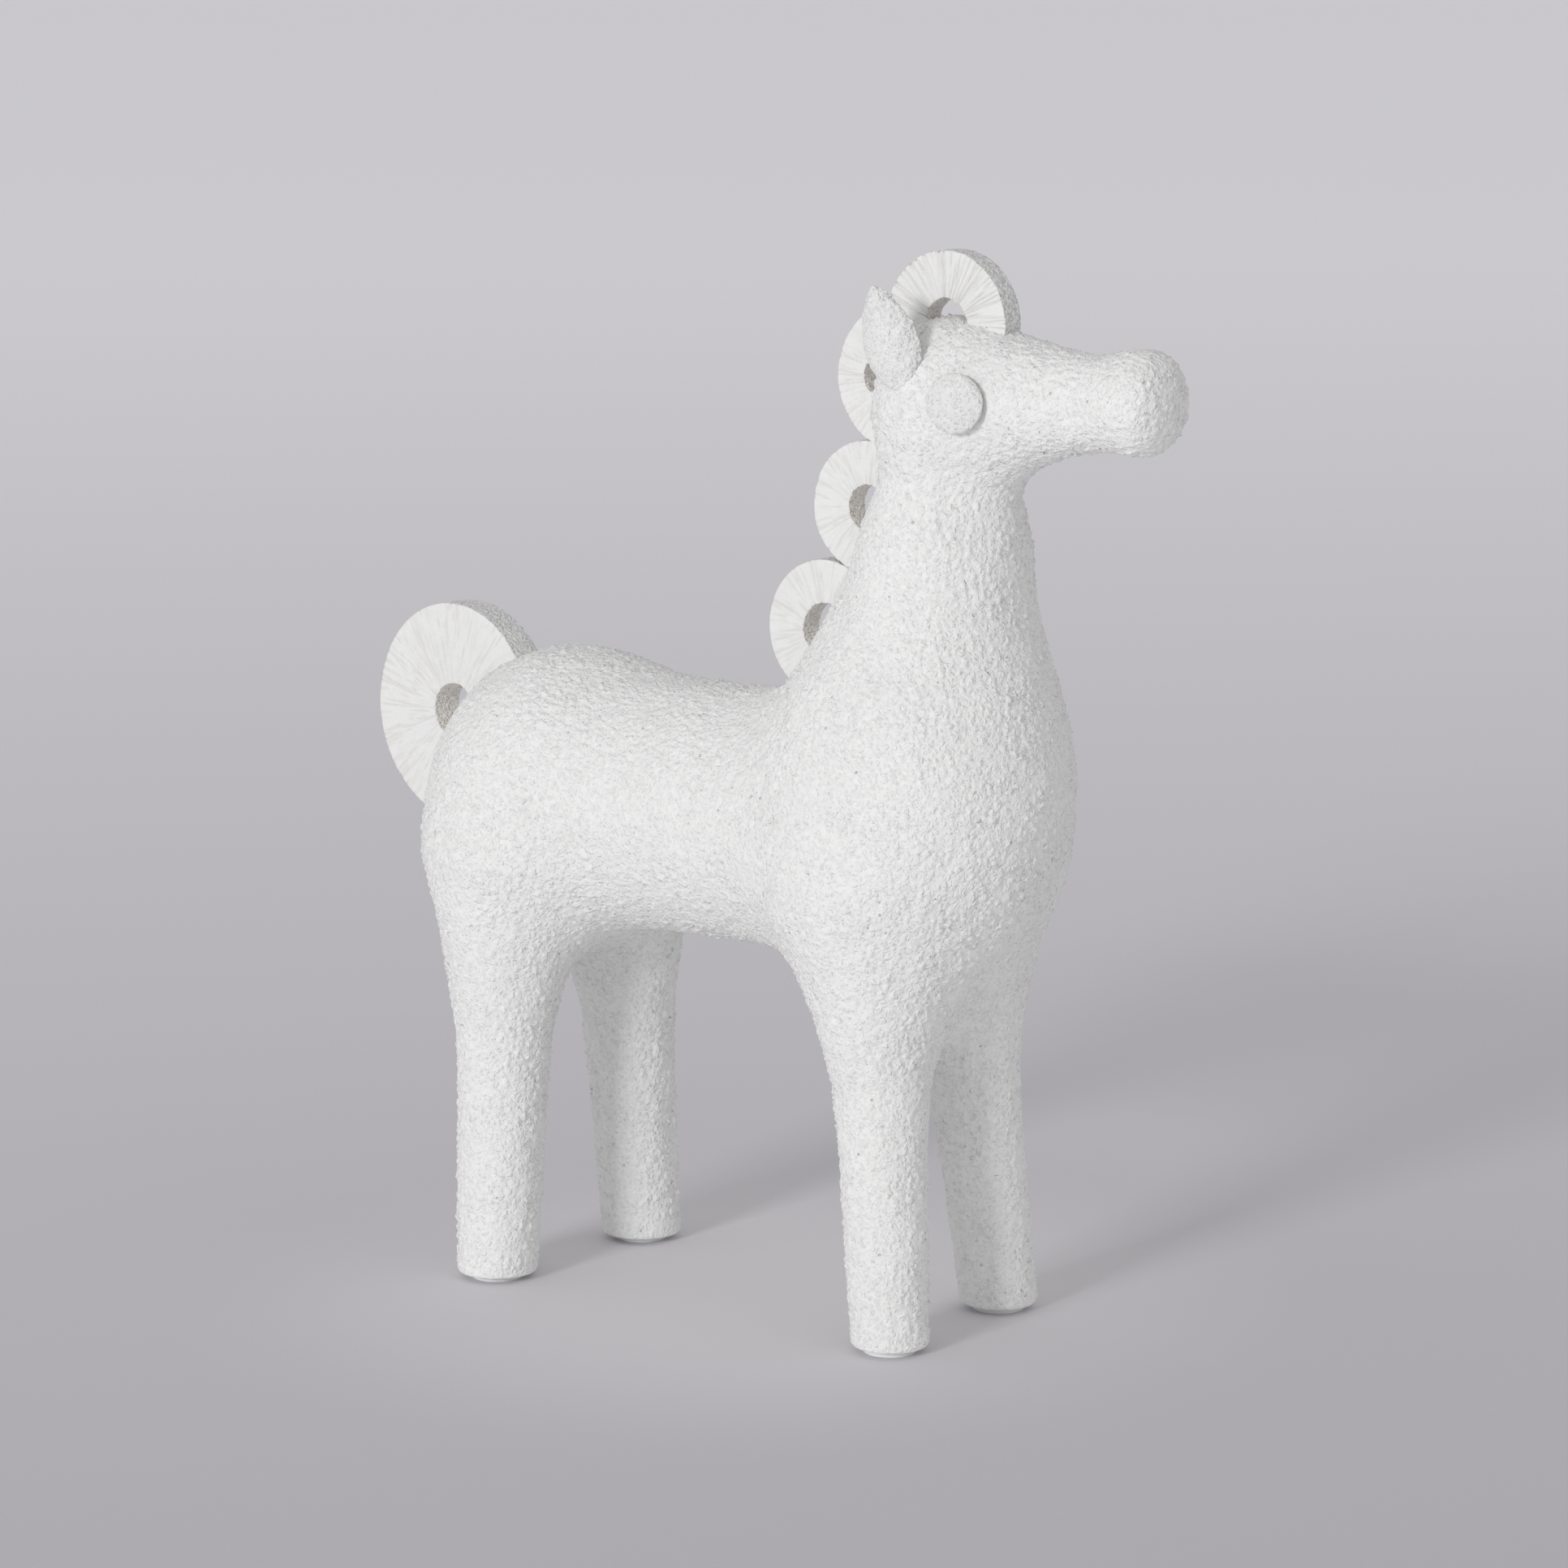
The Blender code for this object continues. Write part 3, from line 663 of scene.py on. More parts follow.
def cut_piece(name, whole, planes):
    """The part of a mesh on the kept side of some planes, its cuts closed with flat caps."""
    bm = bmesh.new()
    bm.from_mesh(whole)
    for point, outwards in planes:
        everything = bm.verts[:] + bm.edges[:] + bm.faces[:]
        bmesh.ops.bisect_plane(
            bm, geom=everything, dist=SAME_POINT, plane_co=point, plane_no=outwards, clear_outer=True
        )
        edges = [edge for edge in bm.edges if edge.is_boundary]
        for cap in bmesh.ops.holes_fill(bm, edges=edges)["faces"]:
            cap.smooth = False
    caps = [face for face in bm.faces if not face.smooth]
    bmesh.ops.triangulate(bm, faces=caps)
    mesh = bpy.data.meshes.new(name)
    bm.to_mesh(mesh)
    bm.free()
    kept = np.empty(len(mesh.vertices) * 3, np.float32)
    mesh.attributes["whole_normal"].data.foreach_get("vector", kept)
    mesh.attributes.remove(mesh.attributes["whole_normal"])
    keep_normals(mesh, kept.reshape(-1, 3))
    mesh.materials.append(whole.materials[0])
    return add_object(name, mesh)


def make_clay(glaze):
    """The clay body as one skin, cut into two pairs of legs, two halves, and neck with head."""
    clay = add_object("clay", bpy.data.meshes.new("clay"))
    made_by(clay_tree(), clay, Glaze=glaze)
    whole = clay.data
    whole.transform(Matrix.Translation(SHIFT))
    normals = np.empty(len(whole.vertices) * 3, np.float32)
    whole.vertices.foreach_get("normal", normals)
    stored = whole.attributes.new("whole_normal", "FLOAT_VECTOR", "POINT")
    stored.data.foreach_set("vector", normals)
    half = Vector((HALF_CUT_X, 0.0, 0.0))
    legs, neck = Vector((0.0, 0.0, LEG_CUT_Z)), Vector((0.0, 0.0, NECK_CUT_Z))
    ahead, up = Vector((1.0, 0.0, 0.0)), Vector((0.0, 0.0, 1.0))
    pieces = [
        cut_piece("rear_legs", whole, [(half, ahead), (legs, up)]),
        cut_piece("front_legs", whole, [(half, -ahead), (legs, up)]),
        cut_piece("hindquarters", whole, [(half, ahead), (legs, -up)]),
        cut_piece("forequarters", whole, [(half, -ahead), (legs, -up), (neck, up)]),
        cut_piece("neck_and_head", whole, [(neck, -up)]),
    ]
    bpy.data.objects.remove(clay)
    bpy.data.meshes.remove(whole)
    return pieces


# The discs


def neck_line(along):
    """The centre and the radius of the neck at a way along it, up from the chest's centre."""
    lower = (NECK_TOP - CHEST).length
    upper = (POLL - NECK_TOP).length
    if along <= lower:
        share = along / lower
        radius = NECK_BASE_RADIUS + (NECK_TOP_RADIUS - NECK_BASE_RADIUS) * share
        return CHEST.lerp(NECK_TOP, share), radius
    share = min(1.0, (along - lower) / upper)
    radius = NECK_TOP_RADIUS + (POLL_RADIUS - NECK_TOP_RADIUS) * share
    return NECK_TOP.lerp(POLL, share), radius


def disc_centre(disc, centre, radius):
    """Where a disc's hole is: out from the clay's centre in the disc's own direction."""
    angle = math.radians(disc.direction)
    outwards = Vector((math.cos(angle), 0.0, math.sin(angle)))
    return centre + outwards * (radius + disc.over)


def ring_section(tree, given, width):
    """A ring's section, a rectangle with small rounded corners: its points and their number."""
    section = tree.nodes.new("GeometryNodeCurvePrimitiveQuadrilateral")
    feed(tree, section.inputs["Width"], width)
    feed(tree, section.inputs["Height"], given["Thickness"])
    stepped = tree.nodes.new("GeometryNodeSubdivideCurve")
    feed(tree, stepped.inputs["Curve"], section.outputs["Curve"])
    feed(tree, stepped.inputs["Cuts"], given["Steps"])
    fillet = tree.nodes.new("GeometryNodeFilletCurve")
    feed(tree, fillet.inputs["Curve"], stepped.outputs["Curve"])
    fillet.mode = "POLY"
    fillet.inputs["Count"].default_value = 2
    feed(tree, fillet.inputs["Radius"], given["Edge Rounding"])
    row = tree.nodes.new("GeometryNodeCurveToPoints")
    row.mode = "EVALUATED"
    feed(tree, row.inputs["Curve"], fillet.outputs["Curve"])
    counted = tree.nodes.new("GeometryNodeAttributeDomainSize")
    counted.component = "POINTCLOUD"
    feed(tree, counted.inputs["Geometry"], row.outputs["Points"])
    return row.outputs["Points"], counted.outputs["Point Count"]


def bent_ring(tree, given, point):
    """A ring about Z bent from a flat grid, which keeps what is rim and what is hole."""
    width = maths(tree, "SUBTRACT", given["Radius"], given["Hole Radius"])
    section, count = ring_section(tree, given, width)
    # One side of the grid goes around the disc and the other around the section
    grid = tree.nodes.new("GeometryNodeMeshGrid")
    grid.inputs["Size X"].default_value = 1.0
    grid.inputs["Size Y"].default_value = 1.0
    feed(tree, grid.inputs["Vertices X"], maths(tree, "ADD", given["Sides"], 1.0))
    feed(tree, grid.inputs["Vertices Y"], maths(tree, "ADD", count, 1.0))
    across, along, _ = parts_of(tree, point)
    index = maths(tree, "ROUND", maths(tree, "MULTIPLY", maths(tree, "ADD", along, 0.5), count))
    read = tree.nodes.new("GeometryNodeSampleIndex")
    read.data_type = "FLOAT_VECTOR"
    feed(tree, read.inputs["Geometry"], section)
    feed(tree, read.inputs["Value"], point)
    feed(tree, read.inputs["Index"], maths(tree, "FLOORED_MODULO", index, count))
    beside, height, _ = parts_of(tree, read.outputs["Value"])
    # It bends round a little unevenly, with the hole set back from the middle
    turn = maths(tree, "MULTIPLY", across, math.tau)
    turn_x, turn_y = maths(tree, "COSINE", turn), maths(tree, "SINE", turn)
    inward = maths(tree, "SUBTRACT", 0.5, maths(tree, "DIVIDE", beside, width))
    layer = maths(tree, "MULTIPLY_ADD", inward, 4.0, given["Number"])
    swell = noise(tree, combined(tree, turn_x, turn_y, layer), 1.6, 2.0)
    swell = maths(tree, "MULTIPLY", maths(tree, "SUBTRACT", swell, 0.5), given["Unevenness"])
    out = maths(tree, "ADD", beside, maths(tree, "MULTIPLY_ADD", width, 0.5, given["Hole Radius"]))
    out = maths(tree, "ADD", out, swell)
    back = maths(tree, "MULTIPLY", inward, given["Hole Back"])
    x = maths(tree, "SUBTRACT", maths(tree, "MULTIPLY", out, turn_x), back)
    half = maths(tree, "MULTIPLY", given["Thickness"], 0.5)
    off_face = maths(tree, "SUBTRACT", half, maths(tree, "ABSOLUTE", height))
    rim = ramped(tree, off_face, 0.0, 0.0006)
    hole = maths(tree, "MULTIPLY", rim, ramped(tree, inward, 0.9, 0.97))
    # Rim starts 0.6 mm in from the faces, and hole is its innermost part. Both are kept before
    # the bend, since they are worked out from the flat grid's points
    geometry = kept_as(tree, grid.outputs["Mesh"], "rim", rim)
    geometry = kept_as(tree, geometry, "hole", hole)
    bend = tree.nodes.new("GeometryNodeSetPosition")
    feed(tree, bend.inputs["Geometry"], geometry)
    bent = combined(tree, x, maths(tree, "MULTIPLY", out, turn_y), height)
    feed(tree, bend.inputs["Position"], bent)
    merge = tree.nodes.new("GeometryNodeMergeByDistance")
    feed(tree, merge.inputs["Geometry"], bend.outputs["Geometry"])
    merge.inputs["Distance"].default_value = MERGE_REACH
    return merge.outputs["Geometry"]


def combed_lines(tree, given, point):
    """Lines combed outwards over a disc's faces, and the low waves between them."""
    point_x, point_y, point_z = parts_of(tree, point)
    flat = combined(tree, point_x, point_y, 0.0)
    distance = vector_maths(tree, "LENGTH", flat)
    around = scaled(tree, flat, maths(tree, "DIVIDE", given["Comb Lines"], distance))
    around_x, around_y, _ = parts_of(tree, around)
    # Each face of each disc has lines of its own, which wander a little on their way out
    side = maths(tree, "MULTIPLY", maths(tree, "SIGN", point_z), 7.3)
    drift = maths(tree, "MULTIPLY_ADD", distance, 30.0, maths(tree, "ADD", side, given["Number"]))
    combed = noise(tree, combined(tree, around_x, around_y, drift), 1.0, 1.0)
    gap = maths(tree, "ABSOLUTE", maths(tree, "SUBTRACT", combed, 0.5))
    lines = ramped(tree, gap, 0.0, given["Comb Width"], 1.0, 0.0)
    deep = noise(tree, combined(tree, around_y, around_x, drift), 0.7, 1.0)
    lines = maths(tree, "MULTIPLY", lines, ramped(tree, deep, 0.3, 0.6, 0.3, 1.0))
    return lines, maths(tree, "MULTIPLY_ADD", combed, 0.6, -0.3)


def disc_tree():
    """Geometry nodes for a pierced disc about Z: combed faces, and grain on its rim."""
    tree, given, result = new_group(
        "pierced_disc",
        "GeometryNodeTree",
        (
            ("Radius", "NodeSocketFloat", 0.03),
            ("Hole Radius", "NodeSocketFloat", 0.01),
            ("Thickness", "NodeSocketFloat", MANE_THICKNESS),
            ("Edge Rounding", "NodeSocketFloat", DISC_EDGE),
            ("Sides", "NodeSocketInt", 300),
            ("Steps", "NodeSocketInt", 12),
            ("Hole Back", "NodeSocketFloat", 0.0),
            ("Unevenness", "NodeSocketFloat", DISC_UNEVENNESS),
            ("Comb Lines", "NodeSocketFloat", 12.0),
            ("Comb Width", "NodeSocketFloat", COMB_WIDTH),
            ("Comb Depth", "NodeSocketFloat", COMB_DEPTH),
            ("Grain Size", "NodeSocketFloat", DISC_GRAIN_SIZE),
            ("Grain Height", "NodeSocketFloat", DISC_GRAIN_HEIGHT),
            ("Number", "NodeSocketFloat", 0.0),
            ("Glaze", "NodeSocketMaterial", None),
        ),
        (("Geometry", "NodeSocketGeometry"),),
    )
    point = tree.nodes.new("GeometryNodeInputPosition").outputs["Position"]
    ring = bent_ring(tree, given, point)
    lines, waves = combed_lines(tree, given, point)
    comb = maths(tree, "MULTIPLY", maths(tree, "SUBTRACT", waves, lines), given["Comb Depth"])
    seed = combined(tree, given["Number"], 0.0, 0.0)
    grain = grain_over(tree, given, vector_maths(tree, "ADD", point, seed))
    # Grain on the rim and in the hole, combed lines on the faces
    mix = tree.nodes.new("ShaderNodeMix")
    feed(tree, mix.inputs["Factor"], attribute(tree, "rim"))
    feed(tree, mix.inputs["A"], comb)
    feed(tree, mix.inputs["B"], grain)
    face = maths(tree, "SUBTRACT", 1.0, attribute(tree, "rim"))
    # The combed lines are kept for the glaze, which darkens them as painted shade in the grooves
    ring = kept_as(tree, ring, "groove_shade", maths(tree, "MULTIPLY", lines, face))
    finish_tree(tree, raised(tree, ring, mix.outputs["Result"]), result, given["Glaze"])
    return tree


def make_disc(tree, disc, centre, thickness, turn, glaze):
    """A pierced disc, upright and turned by some degrees from straight ahead."""
    forelock = disc.name == "forelock"
    side_length = FORELOCK_SIDE_LENGTH if forelock else DISC_SIDE_LENGTH
    thing = add_object("disc_" + disc.name, bpy.data.meshes.new("disc_" + disc.name))
    made_by(
        tree,
        thing,
        Radius=disc.radius,
        Hole_Radius=disc.hole,
        Thickness=thickness,
        Edge_Rounding=DISC_EDGE,
        Sides=round(math.tau * disc.radius / side_length),
        Steps=round((disc.radius - disc.hole + thickness) / 2 / DISC_STEP),
        Hole_Back=disc.hole_back,
        Comb_Lines=disc.radius * COMB_LINES_PER_METRE,
        Comb_Width=FORELOCK_COMB_WIDTH if forelock else COMB_WIDTH,
        Comb_Depth=FORELOCK_COMB_DEPTH if forelock else COMB_DEPTH,
        Number=float(disc.number),
        Glaze=glaze,
    )
    upright = Matrix.Rotation(math.radians(90.0), 4, "X")
    placed = Matrix.Translation(centre) @ Matrix.Rotation(math.radians(turn), 4, "Z") @ upright
    thing.data.transform(Matrix.Translation(SHIFT) @ placed)
    return thing


# Ears and eyes


def grain_tree():
    """Geometry nodes that raise the clay's grain on a mesh, twice as high on its rim."""
    tree, given, result = new_group(
        "grain_over",
        "GeometryNodeTree",
        (
            ("Geometry", "NodeSocketGeometry", None),
            ("Grain Size", "NodeSocketFloat", GRAIN_SIZE),
            ("Grain Height", "NodeSocketFloat", GRAIN_HEIGHT),
            ("Glaze", "NodeSocketMaterial", None),
        ),
        (("Geometry", "NodeSocketGeometry"),),
    )
    point = tree.nodes.new("GeometryNodeInputPosition").outputs["Position"]
    grain = grain_over(tree, given, point)
    grain = maths(tree, "MULTIPLY", grain, maths(tree, "ADD", attribute(tree, "rim"), 1.0))
    finish_tree(tree, raised(tree, given["Geometry"], grain), result, given["Glaze"])
    return tree


def make_eye(side, tree, glaze):
    """One eye: a low dome whose rim tucks in where it meets the head."""
    axis = BRIDGE - POLL
    share = EYE_FORWARD / axis.length
    radius = POLL_RADIUS + (BRIDGE_RADIUS - POLL_RADIUS) * share
    slope = math.atan2(POLL_RADIUS - BRIDGE_RADIUS, axis.length)
    turn = math.radians(EYE_TURN)
    outwards = Vector((math.sin(slope), side * math.cos(slope) * math.cos(turn), math.sin(turn)))
    outwards.normalize()
    seat = POLL.lerp(BRIDGE, share) + outwards * radius
    profile = []
    for ring in range(EYE_RINGS + 1):
        angle = math.radians(90.0) * ring / EYE_RINGS
        bulge = EYE_RADIUS * math.sin(angle)
        profile.append((bulge, EYE_RIM + EYE_DOME * math.cos(angle)))
    for step in EYE_TUCK_STEPS:
        tuck = EYE_TUCK * step**2
        profile.append((EYE_RADIUS - tuck, EYE_RIM * (1.0 - step)))
    profile += [(EYE_RADIUS - EYE_TUCK, -EYE_DEPTH), (0.0, -EYE_DEPTH)]
    thing = turned("eye_left" if side > 0 else "eye_right", profile, EYE_SIDES)
    placed = Matrix.Translation(seat) @ outwards.to_track_quat("Z", "Y").to_matrix().to_4x4()
    thing.data.transform(Matrix.Translation(SHIFT) @ placed)
    return made_by(tree, thing, Grain_Size=EYE_GRAIN_SIZE, Grain_Height=EYE_GRAIN_HEIGHT, Glaze=glaze)


def make_ear(side, tree, glaze):
    """One ear: a thick leaf, pointed at both ends, its outer face rounded."""
    name = "ear_left" if side > 0 else "ear_right"
    mesh = bpy.data.meshes.new(name)
    bm = bmesh.new()
    half = EAR_LENGTH / 2
    bmesh.ops.create_uvsphere(bm, u_segments=EAR_SIDES, v_segments=EAR_RINGS, radius=half)
    rim = bm.verts.layers.float.new("rim")
    for vert in bm.verts:
        height = max(0.0, vert.co.z + half)
        around = math.atan2(vert.co.y, vert.co.x)
        swell = math.sin(math.pi * (height / EAR_LENGTH) ** EAR_LOW_POWER)
        fullness = max(0.0, swell) ** EAR_FULL_POWER
        forwards, outwards = math.cos(around), math.sin(around)
        cup = EAR_CUP * forwards**2 * fullness
        vert[rim] = max(0.0, forwards) ** EAR_RIM_POWER
        vert.co = (
            forwards * fullness * EAR_WIDTH / 2,
            outwards * math.sqrt(fullness) * EAR_THICKNESS / 2 - cup,
            height,
        )
    bm.to_mesh(mesh)
    bm.free()
    seat = POLL + Vector((-EAR_BACK, EAR_SIDE, EAR_RISE))
    lean = Matrix.Rotation(math.radians(-EAR_LEAN), 4, "X")
    tilt = Matrix.Rotation(math.radians(-EAR_TILT), 4, "Y")
    turn = Matrix.Rotation(math.radians(-EAR_TURN), 4, "Z")
    mesh.transform(Matrix.Translation(seat) @ lean @ tilt @ turn)
    if side < 0:
        mesh.transform(Matrix.Diagonal((1.0, -1.0, 1.0, 1.0)))
        mesh.flip_normals()
    mesh.transform(Matrix.Translation(SHIFT))
    thing = add_object(name, mesh)
    return made_by(tree, thing, Grain_Size=EAR_GRAIN_SIZE, Grain_Height=EAR_GRAIN_HEIGHT, Glaze=glaze)


# Pads


def make_pad(corner, material):
    """One thin round pad under a foot, its rim a little rounded."""
    low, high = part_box("foot_pad_" + corner)
    middle = Vector(((low.x + high.x) / 2, (low.y + high.y) / 2, 0.0))
    profile = [(0.0, PAD_THICKNESS)]
    for step in range(PAD_EDGE_STEPS + 1):
        angle = math.radians(90.0) * step / PAD_EDGE_STEPS
        across = PAD_RADIUS - PAD_EDGE + PAD_EDGE * math.sin(angle)
        profile.append((across, PAD_THICKNESS - PAD_EDGE + PAD_EDGE * math.cos(angle)))
    profile += [(PAD_RADIUS, PAD_CHAMFER), (PAD_RADIUS - PAD_CHAMFER, 0.0), (0.0, 0.0)]
    pad = turned("pad_" + corner, profile, PAD_SIDES)
    pad.data.transform(Matrix.Translation(middle))
    pad.data.shade_smooth()
    pad.data.set_sharp_from_angle(angle=math.radians(PAD_SHARP_ANGLE))
    pad.data.materials.append(material)
    return pad


# Materials


def shader_tree(name):
    """A new material's tree with its Principled shader and the object's own coordinates."""
    material = bpy.data.materials.new(name)
    material.use_nodes = True
    tree = material.node_tree
    shader = tree.nodes["Principled BSDF"]
    point = tree.nodes.new("ShaderNodeTexCoord").outputs["Object"]
    return material, tree, shader, point


def blended(tree, factor, first, second):
    """A colour between two colours."""
    node = tree.nodes.new("ShaderNodeMix")
    node.data_type = "RGBA"
    # Its colour sockets share their names with those of other types, so they go by number
    for number, value in ((0, factor), (6, first), (7, second)):
        feed(tree, node.inputs[number], value)
    return node.outputs[2]


def bumped(tree, shader, height, distance):
    """Bump on a shader, from a height and the distance that it stands for."""
    bump = tree.nodes.new("ShaderNodeBump")
    bump.inputs["Distance"].default_value = distance
    feed(tree, bump.inputs["Height"], height)
    feed(tree, shader.inputs["Normal"], bump.outputs["Normal"])


def fine_grain_group():
    """Shader group: the fine wrinkles and pits in the glaze, as a height, and the pits alone."""
    group, given, result = new_group(
        "fine_grain",
        "ShaderNodeTree",
        (
            ("Point", "NodeSocketVector", None),
            ("Size", "NodeSocketFloat", 0.0016),
            ("Pit Spacing", "NodeSocketFloat", 0.006),
        ),
        (("Height", "NodeSocketFloat"), ("Pits", "NodeSocketFloat")),
    )
    size = given["Size"]
    crests = pebbles(group, given["Point"], size, 0.5)
    wrinkles = noise(group, given["Point"], maths(group, "DIVIDE", 1.4, size), 3.0, 0.55)
    # Under half of the cells hold a pit, with a radius of up to 0.7 mm
    spots = group.nodes.new("ShaderNodeTexVoronoi")
    feed(group, spots.inputs["Vector"], given["Point"])
    feed(group, spots.inputs["Scale"], maths(group, "DIVIDE", 1.0, given["Pit Spacing"]))
    reach = maths(group, "MULTIPLY", spots.outputs["Distance"], given["Pit Spacing"])
    chosen = parts_of(group, spots.outputs["Color"])[0]
    pit_radius = ramped(group, chosen, 0.55, 1.0, 0.0, 0.0007)
    pits = ramped(group, maths(group, "SUBTRACT", pit_radius, reach), 0.0, 0.0003)
    height = maths(group, "MULTIPLY_ADD", crests, 0.8, maths(group, "MULTIPLY", wrinkles, 0.7))
    feed(group, result["Height"], maths(group, "MULTIPLY_ADD", pits, -1.2, height))
    feed(group, result["Pits"], pits)
    return group


def glaze_tone_group():
    """Shader group: the glaze's colour, darker where it is thin and where pits show the clay, with
    painted shade in the combed grooves and painted light on the hole walls.
    """
    group, given, result = new_group(
        "glaze_tone",
        "ShaderNodeTree",
        (
            ("Point", "NodeSocketVector", None),
            ("Pits", "NodeSocketFloat", 0.0),
            ("Hole", "NodeSocketFloat", 0.0),
            ("Groove", "NodeSocketFloat", 0.0),
            ("Glaze", "NodeSocketColor", (0.8, 0.8, 0.8, 1.0)),
            ("Thin Glaze", "NodeSocketColor", (0.75, 0.75, 0.74, 1.0)),
            ("Clay And Shade", "NodeSocketColor", BARE_CLAY_AND_SHADE),
            ("Hole Glaze", "NodeSocketColor", HOLE_TONE_AND_LIGHT),
        ),
        (("Color", "NodeSocketColor"), ("Thin", "NodeSocketFloat")),
    )
    broad = noise(group, given["Point"], 28.0, 2.0, 0.5)
    mottle = noise(group, given["Point"], 260.0, 3.0, 0.6)
    both = maths(group, "MULTIPLY_ADD", mottle, 0.6, maths(group, "MULTIPLY", broad, 0.4))
    thin = ramped(group, both, 0.42, 0.66)
    colour = blended(group, thin, given["Glaze"], given["Thin Glaze"])
    # Painted light: the hole walls take this warm, much paler colour, lifting the shade inside the
    # holes
    colour = blended(group, given["Hole"], colour, given["Hole Glaze"])
    # Painted shade: the combed grooves are darkened towards the clay's colour, while the pits show
    # the clay itself
    bare_and_shaded = maths(group, "MULTIPLY", given["Groove"], 0.5)
    bare_and_shaded = maths(group, "MAXIMUM", maths(group, "MULTIPLY", given["Pits"], 0.55), bare_and_shaded)
    colour = blended(group, bare_and_shaded, colour, given["Clay And Shade"])
    feed(group, result["Color"], colour)
    feed(group, result["Thin"], thin)
    return group


FINE_GRAIN = fine_grain_group()
GLAZE_TONE = glaze_tone_group()


def kept_number(tree, name):
    """The number that the piece keeps at each of its points under a name."""
    node = tree.nodes.new("ShaderNodeAttribute")
    node.attribute_name = name
    return node.outputs["Fac"]


def glaze_material(glaze):
    """A matte white glaze over grogged clay."""
    material, tree, shader, point = shader_tree(glaze.name)
    fine = placed_group(
        tree, FINE_GRAIN, Point=point, Size=glaze.size, Pit_Spacing=glaze.pit_spacing
    )
    tone = placed_group(
        tree,
        GLAZE_TONE,
        Point=point,
        Pits=fine["Pits"],
        Hole=kept_number(tree, "hole"),
        Groove=kept_number(tree, "groove_shade"),
        Glaze=[glaze.white * share for share in THICK_TINT] + [1.0],
        Thin_Glaze=[glaze.white * share for share in THIN_TINT] + [1.0],
    )
    rim = kept_number(tree, "rim")
    share = maths(tree, "MULTIPLY_ADD", rim, glaze.rough - glaze.plain, glaze.plain)
    bumped(tree, shader, maths(tree, "MULTIPLY", fine["Height"], share), glaze.depth)
    roughness = maths(tree, "MULTIPLY_ADD", tone["Thin"], THIN_ROUGHER, glaze.roughness)
    feed(tree, shader.inputs["Base Color"], tone["Color"])
    feed(tree, shader.inputs["Roughness"], roughness)
    shader.inputs["Specular IOR Level"].default_value = GLAZE_SPECULAR
    return material


def pad_material():
    """Soft white self-adhesive pad, finely pored."""
    material, tree, shader, point = shader_tree("soft_pad")
    pores = noise(tree, point, 2600.0, 2.0, 0.5)
    cloud = noise(tree, point, 300.0, 2.0, 0.5)
    feed(tree, shader.inputs["Base Color"], blended(tree, cloud, PAD_DARK, PAD_PALE))
    feed(tree, shader.inputs["Roughness"], ramped(tree, cloud, 0.3, 0.7, 0.5, 0.65))
    bumped(tree, shader, pores, PORE_DEPTH)
    return material


def floor_material():
    """Smooth pale lilac-grey studio paper, with painted light: a pale pool round the figure, and
    paler further from the viewer.
    """
    material, tree, shader, point = shader_tree("studio_paper")
    cloud = noise(tree, point, 1.5, 2.0, 0.5)
    away = vector_maths(tree, "DOT_PRODUCT", point, AWAY_FROM_VIEWER)
    reach = maths(tree, "SQRT", maths(tree, "MAXIMUM", maths(tree, "ADD", away, 0.6), 0.0))
    # Painted light: the paper is painted paler the further it lies from the viewer, for the light on
    # the backdrop
    far = ramped(tree, maths(tree, "MULTIPLY_ADD", cloud, 0.02, reach), 0.2, 2.8)
    # Painted light: a pale pool painted round the figure, for the light thrown under and round it
    light_pool = ramped(tree, vector_maths(tree, "LENGTH", point), LIGHT_POOL_FROM, LIGHT_POOL_TO, 1.0, 0.0)
    colour = blended(tree, far, blended(tree, light_pool, PAPER, PAINTED_LIGHT_POOL_PAPER), PAINTED_LIGHT_FAR_PAPER)
    # It throws more light up than it shows, in place of the white cards round a studio table
    thrown = tree.nodes.new("ShaderNodeLightPath").outputs["Is Diffuse Ray"]
    feed(tree, shader.inputs["Base Color"], blended(tree, thrown, colour, THROWN_PAPER))
    shader.inputs["Roughness"].default_value = 0.8
    shader.inputs["Specular IOR Level"].default_value = 0.2
    return material


# The studio


def view_axes(azimuth, elevation):
    """Unit vectors towards the viewer, to the viewer's right, and up in the view."""
    a, e = math.radians(azimuth), math.radians(elevation)
    back = Vector((math.sin(a) * math.cos(e), -math.cos(a) * math.cos(e), math.sin(e)))
    right = Vector((math.cos(a), math.sin(a), 0.0))
    return back, right, back.cross(right)


def facing(axes, target, distance):
    """Where a thing stands that looks at a target from a distance, along a view's axes."""
    back, right, up = axes
    turn = Matrix((right, up, back)).transposed().to_4x4()
    return Matrix.Translation(target + back * distance) @ turn


def make_camera():
    """The camera at the photograph's place, with its lens."""
    axes = view_axes(VIEW_AZIMUTH, VIEW_ELEVATION)
    right = axes[1]
    target = Vector((right.x, right.y, 0.0)) * VIEW_TARGET_ALONG + SHIFT
    target.z = VIEW_TARGET_Z
    camera = add_object("camera", bpy.data.cameras.new("camera"))
    camera.data.sensor_width = SENSOR
    camera.data.lens = SENSOR * VIEW_FOCAL_SHARE
    camera.data.clip_end = CLIP_END
    camera.matrix_world = facing(axes, target, VIEW_DISTANCE)
    bpy.context.scene.camera = camera


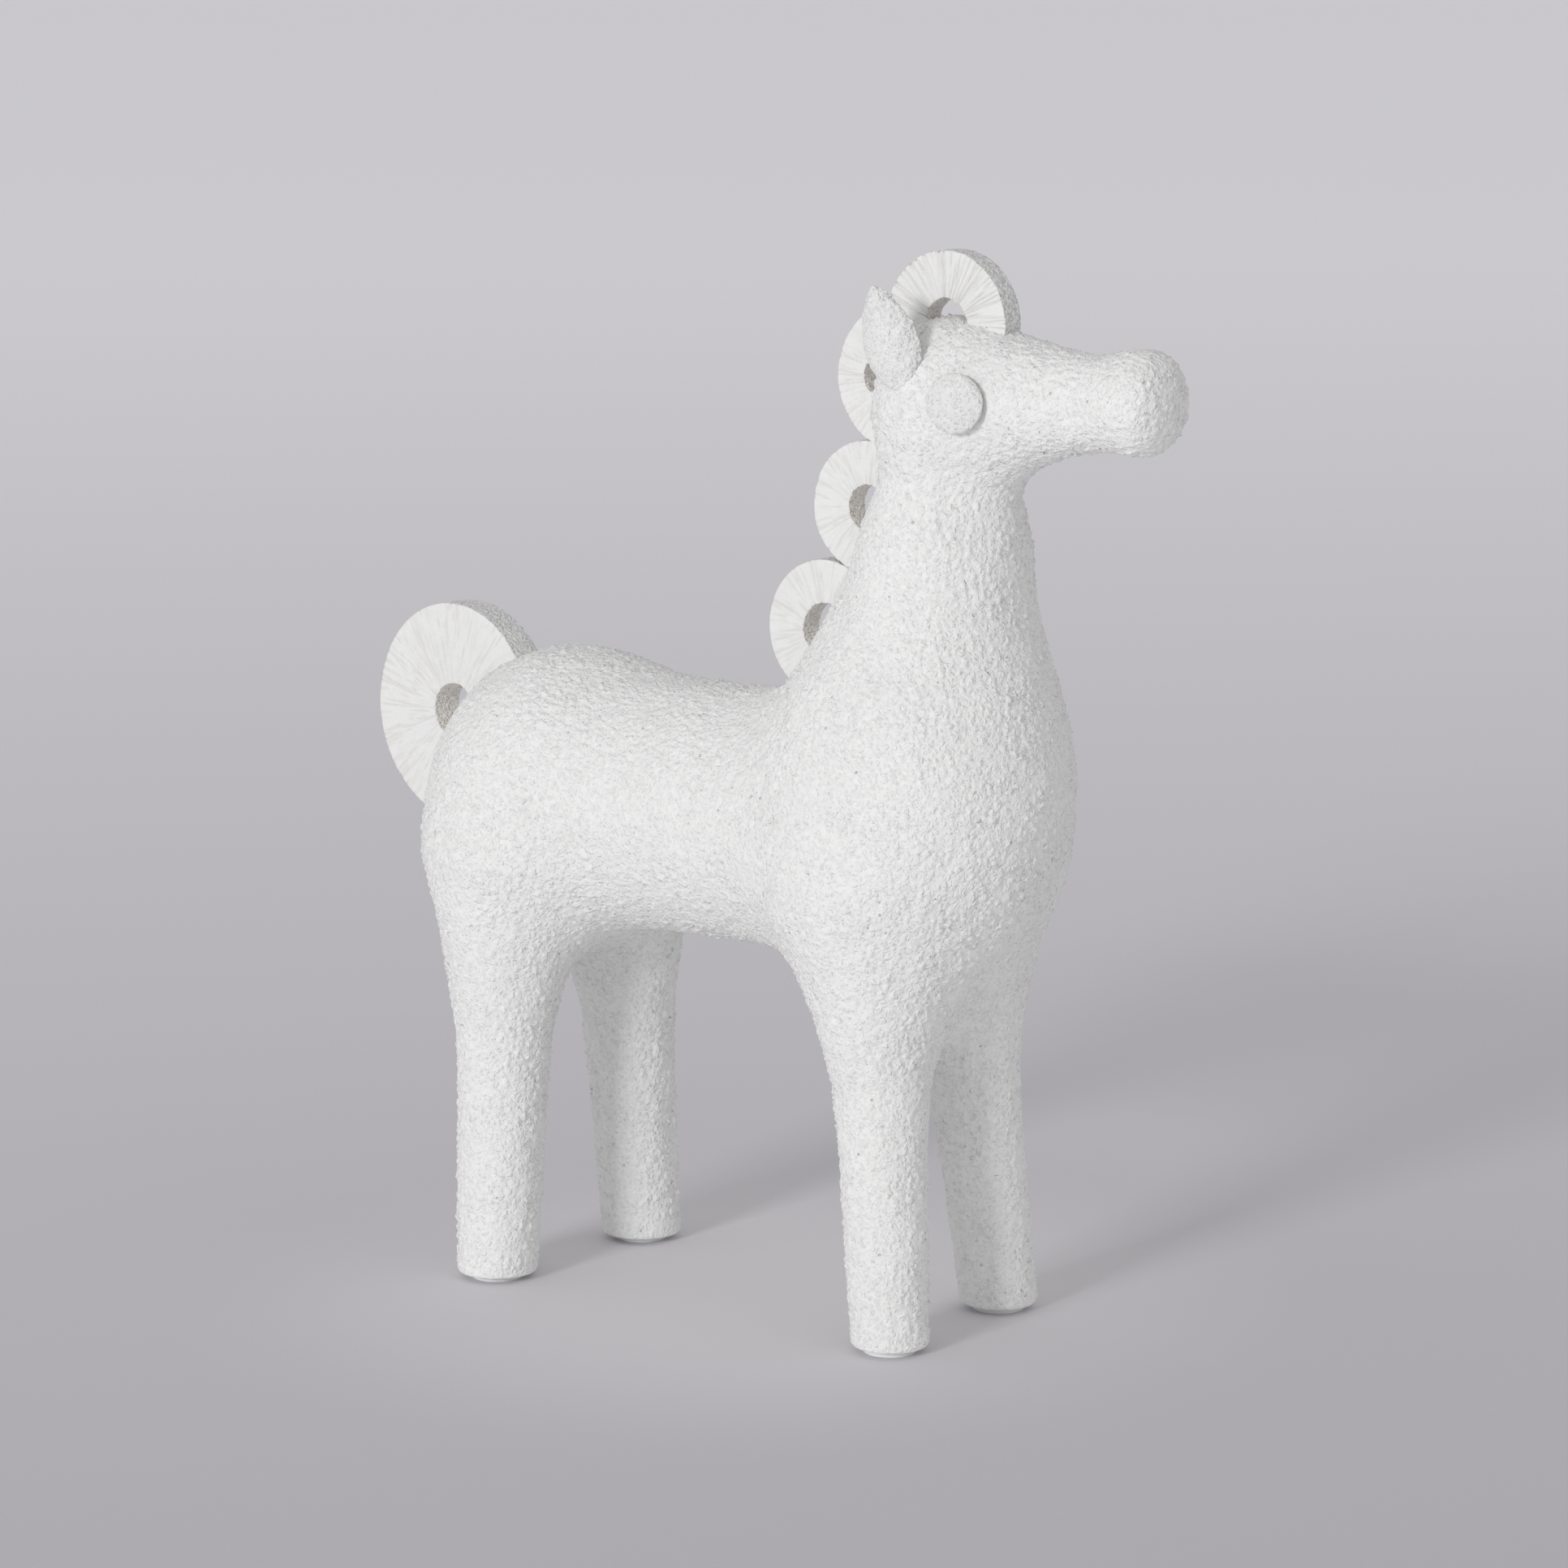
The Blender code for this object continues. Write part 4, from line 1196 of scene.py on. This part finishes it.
def make_lamp(lamp):
    """A soft square light that faces the figure from a direction."""
    light = bpy.data.lights.new(lamp.name, "AREA")
    light.shape = "SQUARE"
    light.size = lamp.size
    light.energy = lamp.power
    thing = add_object(lamp.name, light)
    axes = view_axes(lamp.azimuth, lamp.elevation)
    thing.matrix_world = facing(axes, LAMP_TARGET, lamp.distance)


def make_floor():
    """A wide round floor."""
    mesh = bpy.data.meshes.new("floor")
    bm = bmesh.new()
    bmesh.ops.create_circle(bm, cap_ends=True, segments=96, radius=FLOOR_RADIUS)
    bm.to_mesh(mesh)
    bm.free()
    mesh.materials.append(floor_material())
    add_object("floor", mesh)


def make_studio():
    """Floor, camera, pale surroundings and soft lights."""
    make_floor()
    make_camera()
    world = bpy.data.worlds.new("studio")
    world.use_nodes = True
    background = world.node_tree.nodes["Background"]
    background.inputs["Color"].default_value = WORLD_WHITE
    background.inputs["Strength"].default_value = WORLD_STRENGTH
    bpy.context.scene.world = world
    bpy.context.scene.view_settings.view_transform = "Standard"
    for lamp in LAMPS:
        make_lamp(lamp)


# Putting the figurine together


def settle(piece, node):
    """Hang a piece on the root, and hide the CAD solid that it stands in for."""
    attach(piece, "root")
    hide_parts(node)


def make_horse():
    """Every piece of the fired horse."""
    pieces = make_clay(glaze_material(BODY_GLAZE))
    discs, disc_glaze = disc_tree(), glaze_material(DISC_GLAZE)
    for disc in MANE_DISCS:
        centre = disc_centre(disc, *neck_line(disc.along))
        pieces.append(make_disc(discs, disc, centre, MANE_THICKNESS, 0.0, disc_glaze))
    centre = disc_centre(TAIL, RUMP, RUMP_RADIUS)
    pieces.append(make_disc(discs, TAIL, centre, TAIL_THICKNESS, TAIL_TURN, disc_glaze))
    grain, ear_glaze, eye_glaze = grain_tree(), glaze_material(EAR_GLAZE), glaze_material(EYE_GLAZE)
    for side in (-1, 1):
        pieces.append(make_eye(side, grain, eye_glaze))
        pieces.append(make_ear(side, grain, ear_glaze))
    for piece in pieces:
        settle(piece, "horse")


def make_pads():
    """The pad under each foot."""
    material = pad_material()
    for corner in FOOT_PLACES:
        settle(make_pad(corner, material), "foot_pad_" + corner)


SHIFT = cad_shift()
make_horse()
make_pads()
make_studio()
